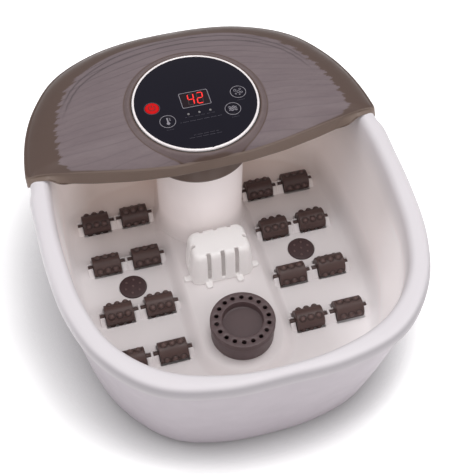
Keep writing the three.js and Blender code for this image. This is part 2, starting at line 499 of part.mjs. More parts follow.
// ---------------------------------------------------------------- herb box
{
  const z0 = PLAT_Z + 0.3, zs = 53.4, zt = HERB_TOP;
  add('herb_box', move(turned([[0, z0], [32.2, z0], [33.2, z0 + 1], [33.6, zs - 0.3], [31.1, zs - 0.3], [31.1, z0 + 2.6], [0, z0 + 2.6]], 32), 0, HERB_Y, 0), M.herb);
  let lid = solid(turned([[0, zs - 3.4], [23.8, zs - 3.4], [23.8, zt - 2.4], [31.8, zt - 2.4], [31.8, zs], [HERB_R, zs], [HERB_R, zt - 0.8], [HERB_R - 0.8, zt], [22.1, zt], [21.5, zt - 0.6], [21.5, zs - 1], [0, zs - 1]], 32));
  for (let k = 0; k < 18; k++) {
    const a = 2 * Math.PI * (k + 0.5) / 18;
    lid = lid.subtract(solid(cyl(2.2, zt - 5, zt + 2, 27.7 * Math.cos(a), 27.7 * Math.sin(a), 6)));
  }
  add('herb_lid', geo(lid).translate(0, HERB_Y, 0), M.herb);
}

// ---------------------------------------------------------------- works under the floor and behind the tub
{
  const tube = (pts, r, n, steps) => new THREE.ExtrudeGeometry(new THREE.Shape(circle(r, n).map(([x, y]) => new THREE.Vector2(x, y))),
    { extrudePath: new THREE.CatmullRomCurve3(pts.map((p) => new THREE.Vector3(...p)), false, 'centripetal'), steps, bevelEnabled: false });
  let pump = solid(box(6, 62, 171, 190, 27, 66));
  for (const x of [14, 24]) pump = pump.add(solid(cyl(2, 25.4, 28, x, 180, 10)));
  add('air_pump', pump, M.black);
  add('air_hose_right', tube([[24, 180, 24.2], [24, 178, 18], [25, 168, 15], [33, 120, 15], [36, 50, 15], [38, 22, 15], [50, 10.1, 15], [93.2, CAP_Y, 15]], 2.6, 6, 26), M.hose);
  add('air_hose_left', tube([[14, 180, 24.2], [14, 178, 18], [12, 168, 15], [-24, 120, 15], [-34, 50, 15], [-38, 22, 15], [-50, 10.1, 15], [-93.2, CAP_Y, 15]], 2.6, 6, 28), M.hose);
  add('power_board', box(-62, -8, 182, 183.6, 26, 84), M.pcb);
  add('vibration_motor', cylX(9.4, -20, 8, HERB_Y, 19.6, 20), M.steel);
  const w = solid(cylX(1.5, 8.4, 22, HERB_Y, 19.6, 12)).add(solid(cylX(8, 11, 20, HERB_Y, 19.6, 20)).subtract(solid(box(10, 21, HERB_Y - 9, HERB_Y + 9, 21, 30))));
  add('eccentric_weight', w, M.steel);
  add('cord_gland', new THREE.LatheGeometry([[3.4, 190], [6, 190], [6, 205.4], [9, 205.4], [9, 207.4], [7.4, 208.6], [3.4, 208.6], [3.4, 190]].map(([r, y]) => new THREE.Vector2(r, y)), 20).translate(0, 0, 34), M.black);
}

export default root;
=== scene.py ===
# Foot spa basin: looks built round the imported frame. Helpers work in millimetres and
# write meshes in metres; every place comes from the frame or from the basin's own curves.
import bpy
import bmesh
import math
import numpy as np
from mathutils import Matrix, Vector
from mathutils.geometry import delaunay_2d_cdt


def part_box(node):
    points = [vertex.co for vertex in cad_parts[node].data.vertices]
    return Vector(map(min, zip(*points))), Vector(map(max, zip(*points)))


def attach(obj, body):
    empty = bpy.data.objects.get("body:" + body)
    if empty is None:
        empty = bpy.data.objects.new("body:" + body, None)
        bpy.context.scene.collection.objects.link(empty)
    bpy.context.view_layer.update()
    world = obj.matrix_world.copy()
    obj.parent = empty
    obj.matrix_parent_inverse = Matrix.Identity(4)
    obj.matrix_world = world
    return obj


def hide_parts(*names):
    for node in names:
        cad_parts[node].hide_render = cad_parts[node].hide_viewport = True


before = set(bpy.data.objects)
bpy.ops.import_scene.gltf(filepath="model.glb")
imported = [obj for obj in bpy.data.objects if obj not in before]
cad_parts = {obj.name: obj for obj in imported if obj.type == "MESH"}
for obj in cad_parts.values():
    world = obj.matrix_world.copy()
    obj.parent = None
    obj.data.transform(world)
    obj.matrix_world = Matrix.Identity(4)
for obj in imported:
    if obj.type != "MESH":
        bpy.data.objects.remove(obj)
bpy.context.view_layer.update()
scene = bpy.context.scene
scene.view_settings.view_transform = "Standard"
MM = 0.001


def mm_box(node):
    lo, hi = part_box(node)
    return np.array(lo) / MM, np.array(hi) / MM


# ------------------------------------------------------------------ materials
def srgb(r, g, b):
    f = lambda c: c / 12.92 if c <= 0.04045 else ((c + 0.055) / 1.055) ** 2.4
    return (f(r / 255), f(g / 255), f(b / 255), 1.0)


def shade(c, k):
    return (min(1, c[0] * k), min(1, c[1] * k), min(1, c[2] * k), 1.0)


def link(nt, a, b):
    nt.links.new(a, b)


def noise(nt, coord, scale, detail=3.0, rough=0.5):
    n = nt.nodes.new("ShaderNodeTexNoise")
    n.inputs["Scale"].default_value = scale
    n.inputs["Detail"].default_value = detail
    n.inputs["Roughness"].default_value = rough
    link(nt, coord, n.inputs["Vector"])
    return n.outputs["Fac"]


def ramp(nt, fac, stops):
    n = nt.nodes.new("ShaderNodeValToRGB")
    e = n.color_ramp.elements
    while len(e) > len(stops):
        e.remove(e[-1])
    while len(e) < len(stops):
        e.new(0.5)
    for k, (p, c) in enumerate(stops):
        e[k].position = p
        e[k].color = c
    link(nt, fac, n.inputs["Fac"])
    return n.outputs["Color"]


def maprange(nt, fac, a, b, lo=0.0, hi=1.0):
    n = nt.nodes.new("ShaderNodeMapRange")
    n.inputs["From Min"].default_value = a
    n.inputs["From Max"].default_value = b
    n.inputs["To Min"].default_value = lo
    n.inputs["To Max"].default_value = hi
    link(nt, fac, n.inputs["Value"])
    return n.outputs["Result"]


def mixc(nt, fac, a, b):
    n = nt.nodes.new("ShaderNodeMix")
    n.data_type = "RGBA"
    for s, v in ((n.inputs[0], fac), (n.inputs[6], a), (n.inputs[7], b)):
        if isinstance(v, bpy.types.NodeSocket):
            link(nt, v, s)
        else:
            s.default_value = v
    return n.outputs[2]


def material(name, color, rough=0.35, vary=0.05, rough_vary=0.06, scale=60.0, grain=900.0, bump=0.06,
             depth=0.00012, metallic=0.0, specular=0.5, coat=0.0, coat_rough=0.1, edge=0.06, dust=None,
             sheen=0.0, emission=None, strength=0.0, ior=1.5, patch=9.0, setup=None):
    m = bpy.data.materials.new(name)
    m.use_nodes = True
    nt = m.node_tree
    p = nt.nodes["Principled BSDF"]
    p.inputs["Metallic"].default_value = metallic
    p.inputs["Specular IOR Level"].default_value = specular
    p.inputs["IOR"].default_value = ior
    p.inputs["Coat Weight"].default_value = coat
    p.inputs["Coat Roughness"].default_value = coat_rough
    p.inputs["Sheen Weight"].default_value = sheen
    tc = nt.nodes.new("ShaderNodeTexCoord").outputs["Object"]
    big = noise(nt, tc, patch, 2.0)
    mid = noise(nt, tc, scale, 4.0)
    fine = noise(nt, tc, grain, 2.0)
    col = ramp(nt, big, [(0.3, shade(color, 1 - vary)), (0.7, shade(color, 1 + vary))])
    col = mixc(nt, maprange(nt, mid, 0.35, 0.75, 0.0, 0.5), col, shade(color, 1 - vary * 0.8))
    if edge:
        geo = nt.nodes.new("ShaderNodeNewGeometry")
        worn = maprange(nt, geo.outputs["Pointiness"], 0.53, 0.62, 0.0, edge)
        col = mixc(nt, worn, col, shade(color, 1.9))
    r = maprange(nt, mid, 0.3, 0.7, rough - rough_vary, rough + rough_vary)
    b = nt.nodes.new("ShaderNodeBump")
    b.inputs["Strength"].default_value = bump
    b.inputs["Distance"].default_value = depth
    link(nt, fine, b.inputs["Height"])
    normal = b.outputs["Normal"]
    if setup:
        col, r, normal = setup(nt, tc, col, r, normal)
    link(nt, col, p.inputs["Base Color"])
    link(nt, r, p.inputs["Roughness"])
    link(nt, normal, p.inputs["Normal"])
    if emission:
        p.inputs["Emission Color"].default_value = emission
    p.inputs["Emission Strength"].default_value = strength
    return m


def grained(nt, tc, col, r, normal):
    """The hood's wavy grain field: the vertex layers say where it is and where its grooves run."""
    field = nt.nodes.new("ShaderNodeAttribute")
    field.attribute_name = "field"
    groove = nt.nodes.new("ShaderNodeAttribute")
    groove.attribute_name = "groove"
    f, g = field.outputs["Fac"], groove.outputs["Fac"]
    # fine streaks that run with the grain
    mp = nt.nodes.new("ShaderNodeMapping")
    mp.inputs["Scale"].default_value = (0.12, 1.0, 1.0)
    link(nt, tc, mp.inputs["Vector"])
    streak = noise(nt, mp.outputs["Vector"], 900.0, 4.0, 0.6)
    broad = noise(nt, mp.outputs["Vector"], 140.0, 3.0, 0.55)
    lit = ramp(nt, broad, [(0.30, FIELD_A), (0.70, FIELD_B)])
    lit = mixc(nt, maprange(nt, streak, 0.4, 0.75, 0.0, 0.35), lit, shade(FIELD_A, 0.86))
    col = mixc(nt, f, col, lit)
    mul = nt.nodes.new("ShaderNodeMath")
    mul.operation = "MULTIPLY"
    link(nt, f, mul.inputs[0])
    link(nt, g, mul.inputs[1])
    col = mixc(nt, maprange(nt, mul.outputs[0], 0.0, 0.8, 0.0, 0.80), col, shade(FIELD_A, 0.46))
    # painted light: this layer turns the hood's front band a lighter tan, as if lit from the front
    painted_lip_light = nt.nodes.new("ShaderNodeAttribute")
    painted_lip_light.attribute_name = "lip"
    col = mixc(nt, painted_lip_light.outputs["Fac"], col, srgb(122, 106, 96))
    rr = nt.nodes.new("ShaderNodeMix")
    rr.data_type = "FLOAT"
    link(nt, f, rr.inputs[0])
    link(nt, r, rr.inputs[2])
    rr.inputs[3].default_value = 0.52
    b = nt.nodes.new("ShaderNodeBump")
    b.inputs["Strength"].default_value = 0.3
    b.inputs["Distance"].default_value = 0.00015
    m2 = nt.nodes.new("ShaderNodeMath")
    m2.operation = "MULTIPLY"
    link(nt, f, m2.inputs[0])
    link(nt, streak, m2.inputs[1])
    link(nt, m2.outputs[0], b.inputs["Height"])
    link(nt, normal, b.inputs["Normal"])
    return col, rr.outputs[0], b.outputs["Normal"]


FIELD_A = srgb(114, 101, 104)
FIELD_B = srgb(122, 109, 111)
def knob_painted_light(nt, tc, col, r, normal):
    """Painted light on the rollers: knob tips lighter as a painted highlight, a darker ring at each knob's foot as
    painted shade, the plain drum at two thirds; the layer is 0.5 on the plain drum.
    """
    a = nt.nodes.new("ShaderNodeAttribute")
    a.attribute_name = "knob"
    m_ = nt.nodes.new("ShaderNodeMix")
    m_.data_type, m_.blend_type = "RGBA", "MULTIPLY"
    m_.inputs[0].default_value = 1.0
    link(nt, col, m_.inputs[6])
    link(nt, ramp(nt, a.outputs["Fac"], [(0.0, (0.34, 0.34, 0.34, 1)), (0.5, (0.66, 0.66, 0.66, 1)), (1.0, (1, 1, 1, 1))]), m_.inputs[7])
    return m_.outputs[2], r, normal


def floor_painted_contact_shadow(nt, tc, col, r, normal):
    """Pale floor with a painted contact shadow: by ambient occlusion its colour and glow darken close under the basin,
    reaching less far at the front.
    """
    ao = nt.nodes.new("ShaderNodeAmbientOcclusion")
    ao.samples = 12
    xyz = nt.nodes.new("ShaderNodeSeparateXYZ")
    link(nt, tc, xyz.inputs[0])
    link(nt, maprange(nt, xyz.outputs["Y"], -0.20, 0.0, 0.040, 0.125), ao.inputs["Distance"])
    f = maprange(nt, ao.outputs["AO"], 0.42, 1.0, 0.0, 1.0)
    em = ramp(nt, f, [(0.0, (0.0, 0.0, 0.0, 1)), (0.45, (0.25, 0.25, 0.25, 1)), (1.0, (1, 1, 1, 1))])
    link(nt, em, nt.nodes["Principled BSDF"].inputs["Emission Color"])
    return mixc(nt, f, (0.55, 0.54, 0.55, 1), col), r, normal


def bowl_painted_light(nt, tc, col, r, normal):
    """Painted light on the tub's white plastic, cool white at the rim and a little warmer down in the bowl: painted
    shade darkens the bowl floor, the back under the hood, the rim and the rim's front face; the warmer back is a
    painted reflection of the brown hood; the emission is a painted glow.
    """
    xyz = nt.nodes.new("ShaderNodeSeparateXYZ")
    link(nt, tc, xyz.inputs[0])
    painted_bowl_light = nt.nodes.new("ShaderNodeMix")
    painted_bowl_light.data_type, painted_bowl_light.blend_type = "RGBA", "MULTIPLY"
    painted_bowl_light.inputs[0].default_value = 1.0
    link(nt, col, painted_bowl_light.inputs[6])
    # painted shade: the bowl floor below 34 mm darker than the walls above 64 mm
    low = mixc(nt, maprange(nt, xyz.outputs["Z"], 0.034, 0.064, 0.0, 1.0), (0.79, 0.76, 0.768, 1), (0.98, 0.936, 0.94, 1))
    # painted shade and a painted warm reflection of the hood, growing towards the back
    low = mixc(nt, maprange(nt, xyz.outputs["Y"], 0.040, 0.15, 0.0, 1.0), low, (0.84, 0.735, 0.685, 1))
    # painted shade: the rim from 140 mm up darker, in the plastic's own cooler tone
    link(nt, mixc(nt, maprange(nt, xyz.outputs["Z"], 0.140, 0.178, 0.0, 1.0), low, (0.74, 0.718, 0.752, 1)), painted_bowl_light.inputs[7])
    # painted shade: this layer darkens the rim's outer face, most at the front
    rim_front_painted_shade = nt.nodes.new("ShaderNodeAttribute")
    rim_front_painted_shade.attribute_name = "rim_front_painted_shade"
    shaded = nt.nodes.new("ShaderNodeMix")
    shaded.data_type, shaded.blend_type = "RGBA", "MULTIPLY"
    link(nt, rim_front_painted_shade.outputs["Fac"], shaded.inputs[0])
    link(nt, painted_bowl_light.outputs[2], shaded.inputs[6])
    shaded.inputs[7].default_value = (0.52, 0.512, 0.525, 1)
    # painted glow: emission strongest on the walls low down, weakest on the floor, dim at the rim; not a property of
    # the plastic
    painted_glow = ramp(nt, maprange(nt, xyz.outputs["Z"], 0.024, 0.178, 0.0, 1.0), [(0.0, (0.21, 0.19, 0.186, 1)), (0.25, (0.9, 0.81, 0.79, 1)), (0.5, (0.8, 0.72, 0.70, 1)), (0.72, (0.35, 0.32, 0.31, 1)), (1.0, (0.3, 0.28, 0.28, 1))])
    # extra self-light on the front right and left walls, to match how bright they are lit; not a property of the plastic
    side = nt.nodes.new("ShaderNodeMath")
    side.operation = "MULTIPLY"
    link(nt, maprange(nt, xyz.outputs["X"], 0.085, 0.135, 0.0, 1.0), side.inputs[0])
    link(nt, maprange(nt, xyz.outputs["Y"], -0.10, -0.04, 1.0, 0.0), side.inputs[1])
    left = nt.nodes.new("ShaderNodeMath")
    left.operation = "MULTIPLY_ADD"
    link(nt, maprange(nt, xyz.outputs["X"], -0.145, -0.118, 0.5, 0.0), left.inputs[0])
    link(nt, maprange(nt, xyz.outputs["Y"], -0.04, 0.03, 0.0, 1.0), left.inputs[1])
    link(nt, side.outputs[0], left.inputs[2])
    inner = nt.nodes.new("ShaderNodeMath")
    inner.operation = "MULTIPLY"
    link(nt, left.outputs[0], inner.inputs[0])
    link(nt, maprange(nt, xyz.outputs["Z"], 0.140, 0.172, 1.0, 0.0), inner.inputs[1])
    painted_glow = mixc(nt, inner.outputs[0], painted_glow, (1.85, 1.8, 1.85, 1))
    link(nt, painted_glow, nt.nodes["Principled BSDF"].inputs["Emission Color"])
    return shaded.outputs[2], r, normal


# strength sets the painted glow of the tub's emission
WHITE = material("white_plastic_moulded", srgb(246, 244, 243), 0.46, 0.014, 0.05, 45, 700, 0.05, 0.0001, edge=0.02, specular=0.34, strength=0.11, setup=bowl_painted_light)
# its emission is a painted glow that lightens the guard, as if light came through the plastic
GUARDW = material("white_plastic_guard", srgb(221, 217, 216), 0.40, 0.02, 0.05, 60, 900, 0.06, 0.0001, edge=0.02, emission=(1.0, 0.97, 0.96, 1), strength=0.14)
SHELL = material("lilac_plastic_body", srgb(158, 149, 156), 0.40, 0.02, 0.05, 40, 700, 0.06, 0.0001, edge=0.02, coat=0.1, coat_rough=0.3)
HOOD = material("taupe_plastic_hood", srgb(88, 71, 64), 0.42, 0.05, 0.05, 50, 800, 0.06, 0.0001, edge=0.04, specular=0.30, coat=0.04, coat_rough=0.3, setup=grained)
COLLAR = material("taupe_plastic_collar", srgb(98, 82, 74), 0.33, 0.05, 0.05, 50, 800, 0.06, 0.0001, edge=0.04, coat=0.2, coat_rough=0.2)
# near-white colour on a barely metallic ring: painted reflection standing in for chrome mirroring bright surroundings
RING = material("ring_metal_painted_white_reflection", srgb(250, 243, 243), 0.28, 0.01, 0.03, 200, 2500, 0.02, 0.00003, metallic=0.10, edge=0.0)
PANEL = material("panel_gloss_black", srgb(22, 20, 31), 0.16, 0.05, 0.02, 60, 1500, 0.02, 0.00003, specular=0.14, edge=0.0)
GLASS = material("display_glass_dark", srgb(30, 18, 24), 0.14, 0.05, 0.02, 80, 1500, 0.02, 0.00003, specular=0.2, edge=0.0)
PRINT = material("panel_print_grey", srgb(138, 134, 142), 0.45, 0.04, 0.05, 300, 3000, 0.03, 0.00003, edge=0.0)
PRINTD = material("panel_print_faint", srgb(70, 67, 78), 0.45, 0.04, 0.05, 300, 3000, 0.03, 0.00003, edge=0.0)
REDB = material("power_button_red", srgb(186, 10, 14), 0.30, 0.05, 0.03, 200, 1500, 0.03, 0.00003, edge=0.0, specular=0.12, emission=srgb(255, 14, 18), strength=0.10)
REDP = material("power_mark_dark_red", srgb(96, 2, 6), 0.35, 0.05, 0.03, 200, 1500, 0.03, 0.00003, edge=0.0)
DIGIT = material("display_digit_red", srgb(255, 40, 30), 0.4, 0.04, 0.03, 300, 3000, 0.02, 0.00002, edge=0.0, emission=srgb(255, 30, 40), strength=0.52)
DIGOFF = material("display_digit_unlit", srgb(44, 26, 28), 0.4, 0.04, 0.03, 300, 3000, 0.02, 0.00002, edge=0.0)
LAMP = material("lamp_lens_milky", srgb(122, 119, 121), 0.25, 0.05, 0.03, 300, 2000, 0.03, 0.00003, edge=0.0)
ROLL = material("roller_brown_satin", srgb(101, 79, 75), 0.42, 0.10, 0.08, 160, 1400, 0.12, 0.00012, edge=0.12, patch=25, specular=0.32, setup=knob_painted_light)
CAPM = material("cap_brown_satin", srgb(66, 47, 48), 0.46, 0.08, 0.08, 160, 1400, 0.12, 0.0001, edge=0.08, patch=25)
NOZZLE = material("nozzle_light_brown", srgb(98, 76, 74), 0.45, 0.06, 0.06, 160, 1400, 0.1, 0.0001, edge=0.05)
HERB = material("herb_brown_matte", srgb(86, 69, 70), 0.46, 0.05, 0.06, 140, 1600, 0.14, 0.00012, edge=0.10, patch=20)
RUBBER = material("foot_rubber_black", srgb(40, 40, 41), 0.82, 0.12, 0.06, 300, 1400, 0.35, 0.0002, edge=0.05)
STEEL = material("steel_plain", srgb(186, 188, 190), 0.30, 0.05, 0.08, 220, 2500, 0.08, 0.00006, metallic=0.95, edge=0.0)
BOARD = material("board_green", srgb(38, 110, 66), 0.45, 0.10, 0.06, 500, 2500, 0.10, 0.00006, edge=0.0)
HOSE = material("hose_milky", srgb(214, 214, 204), 0.45, 0.05, 0.06, 200, 1500, 0.08, 0.0001, edge=0.03)
# pale colour and faint emission: painted light, so the heater seen through the guard's slots reads light
PALE = material("heater_pale_painted_glow", srgb(192, 186, 184), 0.55, 0.03, 0.05, 80, 900, 0.05, 0.0001, edge=0.0, specular=0.3, emission=(1.0, 0.96, 0.95, 1), strength=0.13)
BLACK = material("black_plastic_moulded", srgb(42, 42, 46), 0.50, 0.10, 0.08, 200, 1500, 0.20, 0.00015, edge=0.08)


# ------------------------------------------------------------------ mesh helpers
def new_object(name, verts, faces, mat, body="root", replaces=(), layers=None, sharp=None, closed=True, location=None, rotation=None):
    me = bpy.data.meshes.new(name)
    v = np.asarray(verts, float) * MM
    me.from_pydata([tuple(p) for p in v], [], [tuple(int(i) for i in f) for f in faces])
    for k, values in (layers or {}).items():
        a = me.attributes.new(k, "FLOAT", "POINT")
        a.data.foreach_set("value", np.asarray(values, np.float32))
    if closed:
        bm = bmesh.new()
        bm.from_mesh(me)
        bmesh.ops.recalc_face_normals(bm, faces=bm.faces)
        bm.to_mesh(me)
        bm.free()
    return place(name, me, mat, body, replaces, sharp, location, rotation)


def place(name, me, mat, body, replaces=(), sharp=None, location=None, rotation=None):
    me.polygons.foreach_set("use_smooth", [True] * len(me.polygons))
    if sharp:
        me.set_sharp_from_angle(angle=math.radians(sharp))
    me.materials.clear()
    me.materials.append(mat)
    o = bpy.data.objects.new(name, me)
    scene.collection.objects.link(o)
    if location is not None:
        o.location = Vector(location) * MM
    if rotation is not None:
        o.rotation_euler = rotation
    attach(o, body)
    if replaces:
        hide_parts(*replaces)
    return o


def applied(o):
    """The object's mesh with its modifiers applied."""
    dg = bpy.context.evaluated_depsgraph_get()
    dg.update()
    me = bpy.data.meshes.new_from_object(o.evaluated_get(dg), preserve_all_data_layers=True, depsgraph=dg)
    old = o.data
    o.modifiers.clear()
    o.data = me
    bpy.data.meshes.remove(old)
    me.name = o.name
    return o


class Build:
    def __init__(self):
        self.v, self.f = [], []

    def ring(self, pts):
        k = len(self.v)
        self.v.extend([tuple(map(float, p)) for p in pts])
        return list(range(k, len(self.v)))

    def strip(self, a, b, closed=True):
        n = len(a)
        for i in range(n if closed else n - 1):
            j = (i + 1) % n
            self.f.append((a[i], a[j], b[j], b[i]))

    def strips(self, rings):
        for a, b in zip(rings[:-1], rings[1:]):
            self.strip(a, b)

    def fan(self, a, point, flip=False):
        c = len(self.v)
        self.v.append(tuple(map(float, point)))
        for i in range(len(a)):
            j = (i + 1) % len(a)
            self.f.append((a[j], a[i], c) if flip else (a[i], a[j], c))

    def flat(self, outer, holes=(), flip=False, extra=None):
        """Triangles between ring outer and the hole rings, at their own heights."""
        rings = [outer, *holes]
        ids = [i for r in rings for i in r]
        co = [Vector((self.v[i][0], self.v[i][1])) for i in ids]
        at = {i: k for k, i in enumerate(ids)}
        edges = [(at[r[i]], at[r[(i + 1) % len(r)]]) for r in rings for i in range(len(r))]
        if extra is not None:
            for p in extra:
                ids.append(len(self.v))
                self.v.append(tuple(map(float, p)))
                co.append(Vector((p[0], p[1])))
        out = delaunay_2d_cdt(co, edges, [], 0, 1e-6, True)
        vs, tris, orig = out[0], out[2], out[3]
        cen = np.array([[(vs[t[0]].x + vs[t[1]].x + vs[t[2]].x) / 3, (vs[t[0]].y + vs[t[1]].y + vs[t[2]].y) / 3] for t in tris])
        ok = inside([self.v[i][:2] for i in outer], cen)
        for h in holes:
            ok &= ~inside([self.v[i][:2] for i in h], cen)
        for t, good in zip(tris, ok):
            if good:
                a = [ids[orig[k][0]] for k in t]
                self.f.append(tuple(reversed(a)) if flip else tuple(a))


def inside(poly, pts):
    poly = np.asarray(poly, float)
    x, y = pts[:, 0], pts[:, 1]
    r = np.zeros(len(pts), bool)
    q = np.roll(poly, -1, 0)
    for (x0, y0), (x1, y1) in zip(poly, q):
        c = (y0 > y) != (y1 > y)
        if abs(y1 - y0) > 1e-12:
            r ^= c & (x < (x1 - x0) * (y - y0) / (y1 - y0) + x0)
    return r


def circle(r, n, x=0.0, y=0.0, z=None, start=0.0):
    t = start + 2 * np.pi * np.arange(n) / n
    p = np.stack([x + r * np.cos(t), y + r * np.sin(t)], 1)
    return p if z is None else np.column_stack([p, np.full(n, z)])


def rrect(w, h, r, n=5, x=0.0, y=0.0, z=None):
    """Rounded rectangle with half sizes w and h."""
    out = []
    for sx, sy, a0 in ((1, -1, -90), (1, 1, 0), (-1, 1, 90), (-1, -1, 180)):
        for i in range(n + 1):
            a = math.radians(a0 + 90 * i / n)
            out.append((x + sx * (w - r) + r * math.cos(a), y + sy * (h - r) + r * math.sin(a)))
    p = np.array(out)
    return p if z is None else np.column_stack([p, np.full(len(p), z)])


def lathe(profile, n=128, x=0.0, y=0.0, closed_profile=False):
    """Verts and faces of a profile (radius, height) turned about the upright line at (x, y). A radius of 0 is one point."""
    b = Build()
    rows = [(b.ring([(x, y, z)]) if r < 1e-9 else b.ring(circle(r, n, x, y, z))) for r, z in profile]
    pairs = list(zip(rows[:-1], rows[1:])) + ([(rows[-1], rows[0])] if closed_profile else [])
    for a, c in pairs:
        if len(a) == 1 and len(c) == 1:
            continue
        if len(a) == 1:
            b.f += [(a[0], c[(i + 1) % n], c[i]) for i in range(n)]
        elif len(c) == 1:
            b.f += [(a[i], a[(i + 1) % n], c[0]) for i in range(n)]
        else:
            b.strip(a, c)
    return b.v, b.f


def rounded(profile, radii, n=5):
    """A profile with its corners rounded; radii has one number per point, 0 at the ends and where the corner stays."""
    out = []
    P = [np.array(p, float) for p in profile]
    for i, p in enumerate(P):
        r = radii[i]
        if r <= 0 or i in (0, len(P) - 1):
            out.append(tuple(p))
            continue
        a, c = P[i - 1] - p, P[i + 1] - p
        la, lc = np.linalg.norm(a), np.linalg.norm(c)
        a, c = a / la, c / lc
        ang = math.acos(max(-1, min(1, float(a @ c))))
        t = min(r / math.tan(ang / 2), la * 0.49, lc * 0.49)
        p0, p1 = p + a * t, p + c * t
        for k in range(n + 1):
            u = k / n
            out.append(tuple((1 - u) ** 2 * p0 + 2 * u * (1 - u) * p + u * u * p1))
    return out


def smoothstep(x, a=0.0, b=1.0):
    t = np.clip((np.asarray(x, float) - a) / (b - a), 0, 1)
    return t * t * (3 - 2 * t)


def spline_rings(ctrl, counts):
    """Smooth curve through control rings [(radius, height) arrays]; counts says the steps of each span."""
    P = np.array([np.stack([r, z]) for r, z in ctrl])
    d = np.sqrt(np.sqrt(((P[1:] - P[:-1]) ** 2).sum(1)).mean(1))
    t = np.concatenate([[0], np.cumsum(d)])
    T = np.zeros_like(P)
    for i in range(1, len(P) - 1):
        T[i] = (P[i] - P[i - 1]) / (t[i] - t[i - 1]) - (P[i + 1] - P[i - 1]) / (t[i + 1] - t[i - 1]) + (P[i + 1] - P[i]) / (t[i + 1] - t[i])
    T[0] = (P[1] - P[0]) / (t[1] - t[0])
    T[-1] = (P[-1] - P[-2]) / (t[-1] - t[-2])
    out = [P[0]]
    for i in range(len(P) - 1):
        h = t[i + 1] - t[i]
        for k in range(1, counts[i] + 1):
            u = k / counts[i]
            out.append((2 * u**3 - 3 * u * u + 1) * P[i] + (u**3 - 2 * u * u + u) * h * T[i] + (-2 * u**3 + 3 * u * u) * P[i + 1] + (u**3 - u * u) * h * T[i + 1])
    return out


# ------------------------------------------------------------------ the basin's plan curves
CY = -8.9
ROLL_Z, ROLL_R, ROLL_L, PIN_R, PIN_L = 28.0, 13.0, 30.4, 2.0, 4.2
ROLL_X, ROLL_Y = (75.2, 120.0), (-82.9, -22.4, 44.6, 105.1)
CAP_X, CAP_Y, CAP_R = 97.6, 10.1, 15.0
PANEL_Y, PANEL_Z, TILT = 95.1, 204.0, math.radians(2.5)
HERB_Y, GUARD_Y, PLAT_Z, FLOOR_Z = -86.0, 7.0, 33.4, 24.0


def plan_curve(points):
    P = np.array(points, float)
    t, r = np.arctan2(P[:, 0], -(P[:, 1] - CY)), np.hypot(P[:, 0], P[:, 1] - CY)
    n = len(t)
    m = np.zeros(n)
    m[1:-1] = (r[2:] - r[:-2]) / (t[2:] - t[:-2])

    def f(phi):
        a = np.clip(np.abs(np.arctan2(np.sin(phi), np.cos(phi))), t[0], t[-1])
        i = np.clip(np.searchsorted(t, a, side="right") - 1, 0, n - 2)
        h = t[i + 1] - t[i]
        u = (a - t[i]) / h
        return (2 * u**3 - 3 * u * u + 1) * r[i] + (u**3 - 2 * u * u + u) * h * m[i] + (-2 * u**3 + 3 * u * u) * r[i + 1] + (u**3 - u * u) * h * m[i + 1]

    return f


outline = plan_curve([[0, -227.3], [58, -225.4], [114.8, -207.4], [155.7, -164.1], [176.6, -110.7], [184, -57.9], [185.7, -8.9], [186, 30],
                      [185.4, 55], [182.6, 85], [176, 116], [161, 152.6], [134, 189.2], [87, 215.4], [0, 227.3]])
rim_inner = plan_curve([[0, -212.5], [53.3, -207.7], [103.7, -188.5], [140.8, -149.7], [158.3, -100.3], [164.6, -52.9], [166.9, -8.9], [165.5, 35.1],
                        [160.5, 83.1], [151, 123], [122, 156], [70, 168], [0, 170.5]])
floor_edge = plan_curve([[0, -180], [50, -175], [95, -156], [129, -121], [144.5, -82], [149.5, -35], [150, 10], [149.5, 50], [147.5, 88],
                         [141, 118], [112, 144], [68, 153], [0, 156]])
base_edge = plan_curve([[0, -193.5], [50, -190], [96, -174.9], [133, -138], [153, -96.9], [157.5, -50], [158.5, -8.9], [158, 40], [155, 90],
                        [145, 135], [118, 172], [70, 193], [0, 199]])


def rim_outer(phi):
    r = outline(phi)
    y = CY - r * np.cos(phi)
    return r - 3.5 * smoothstep(y, 28, 48)


def rim_z(y):
    t = (np.minimum(y, 40) - 11.1) / 100
    return 181.2 + 4.2 * t + 1.9 * t * t


def to_xyz(phi, r, z):
    return np.stack([r * np.sin(phi), CY - r * np.cos(phi), z], 1)


# ------------------------------------------------------------------ camera
AZ, EL, RO = math.radians(-16.31), math.radians(52.79), math.radians(0.57)
F_PX, DIST, TARGET = 1016.26, 1160.25, Vector((24.58, 33.49 + 11.1, 28.0))
back = Vector((math.sin(AZ) * math.cos(EL), -math.cos(AZ) * math.cos(EL), math.sin(EL)))
right = Vector((math.cos(AZ), math.sin(AZ), 0))
up = back.cross(right)
right2 = right * math.cos(RO) + up * math.sin(RO)
up2 = up * math.cos(RO) - right * math.sin(RO)
cam_data = bpy.data.cameras.new("camera")
cam_data.sensor_fit = "AUTO"
cam_data.sensor_width = 36.0
cam_data.lens = 36.0 * F_PX / 474.0
cam_data.clip_start, cam_data.clip_end = 0.05, 20.0
cam = bpy.data.objects.new("camera", cam_data)
scene.collection.objects.link(cam)
m = Matrix((right2, up2, back)).transposed().to_4x4()
m.translation = (TARGET + back * DIST) * MM
cam.matrix_world = m
scene.camera = cam

# ------------------------------------------------------------------ inner tub
NP = 320
PHI = 2 * np.pi * np.arange(NP) / NP
ro, ri, fe, be = rim_outer(PHI), rim_inner(PHI), floor_edge(PHI), base_edge(PHI)
rzv = rim_z(CY - ro * np.cos(PHI))


def rim_at(r):
    return rim_z(CY - r * np.cos(PHI))


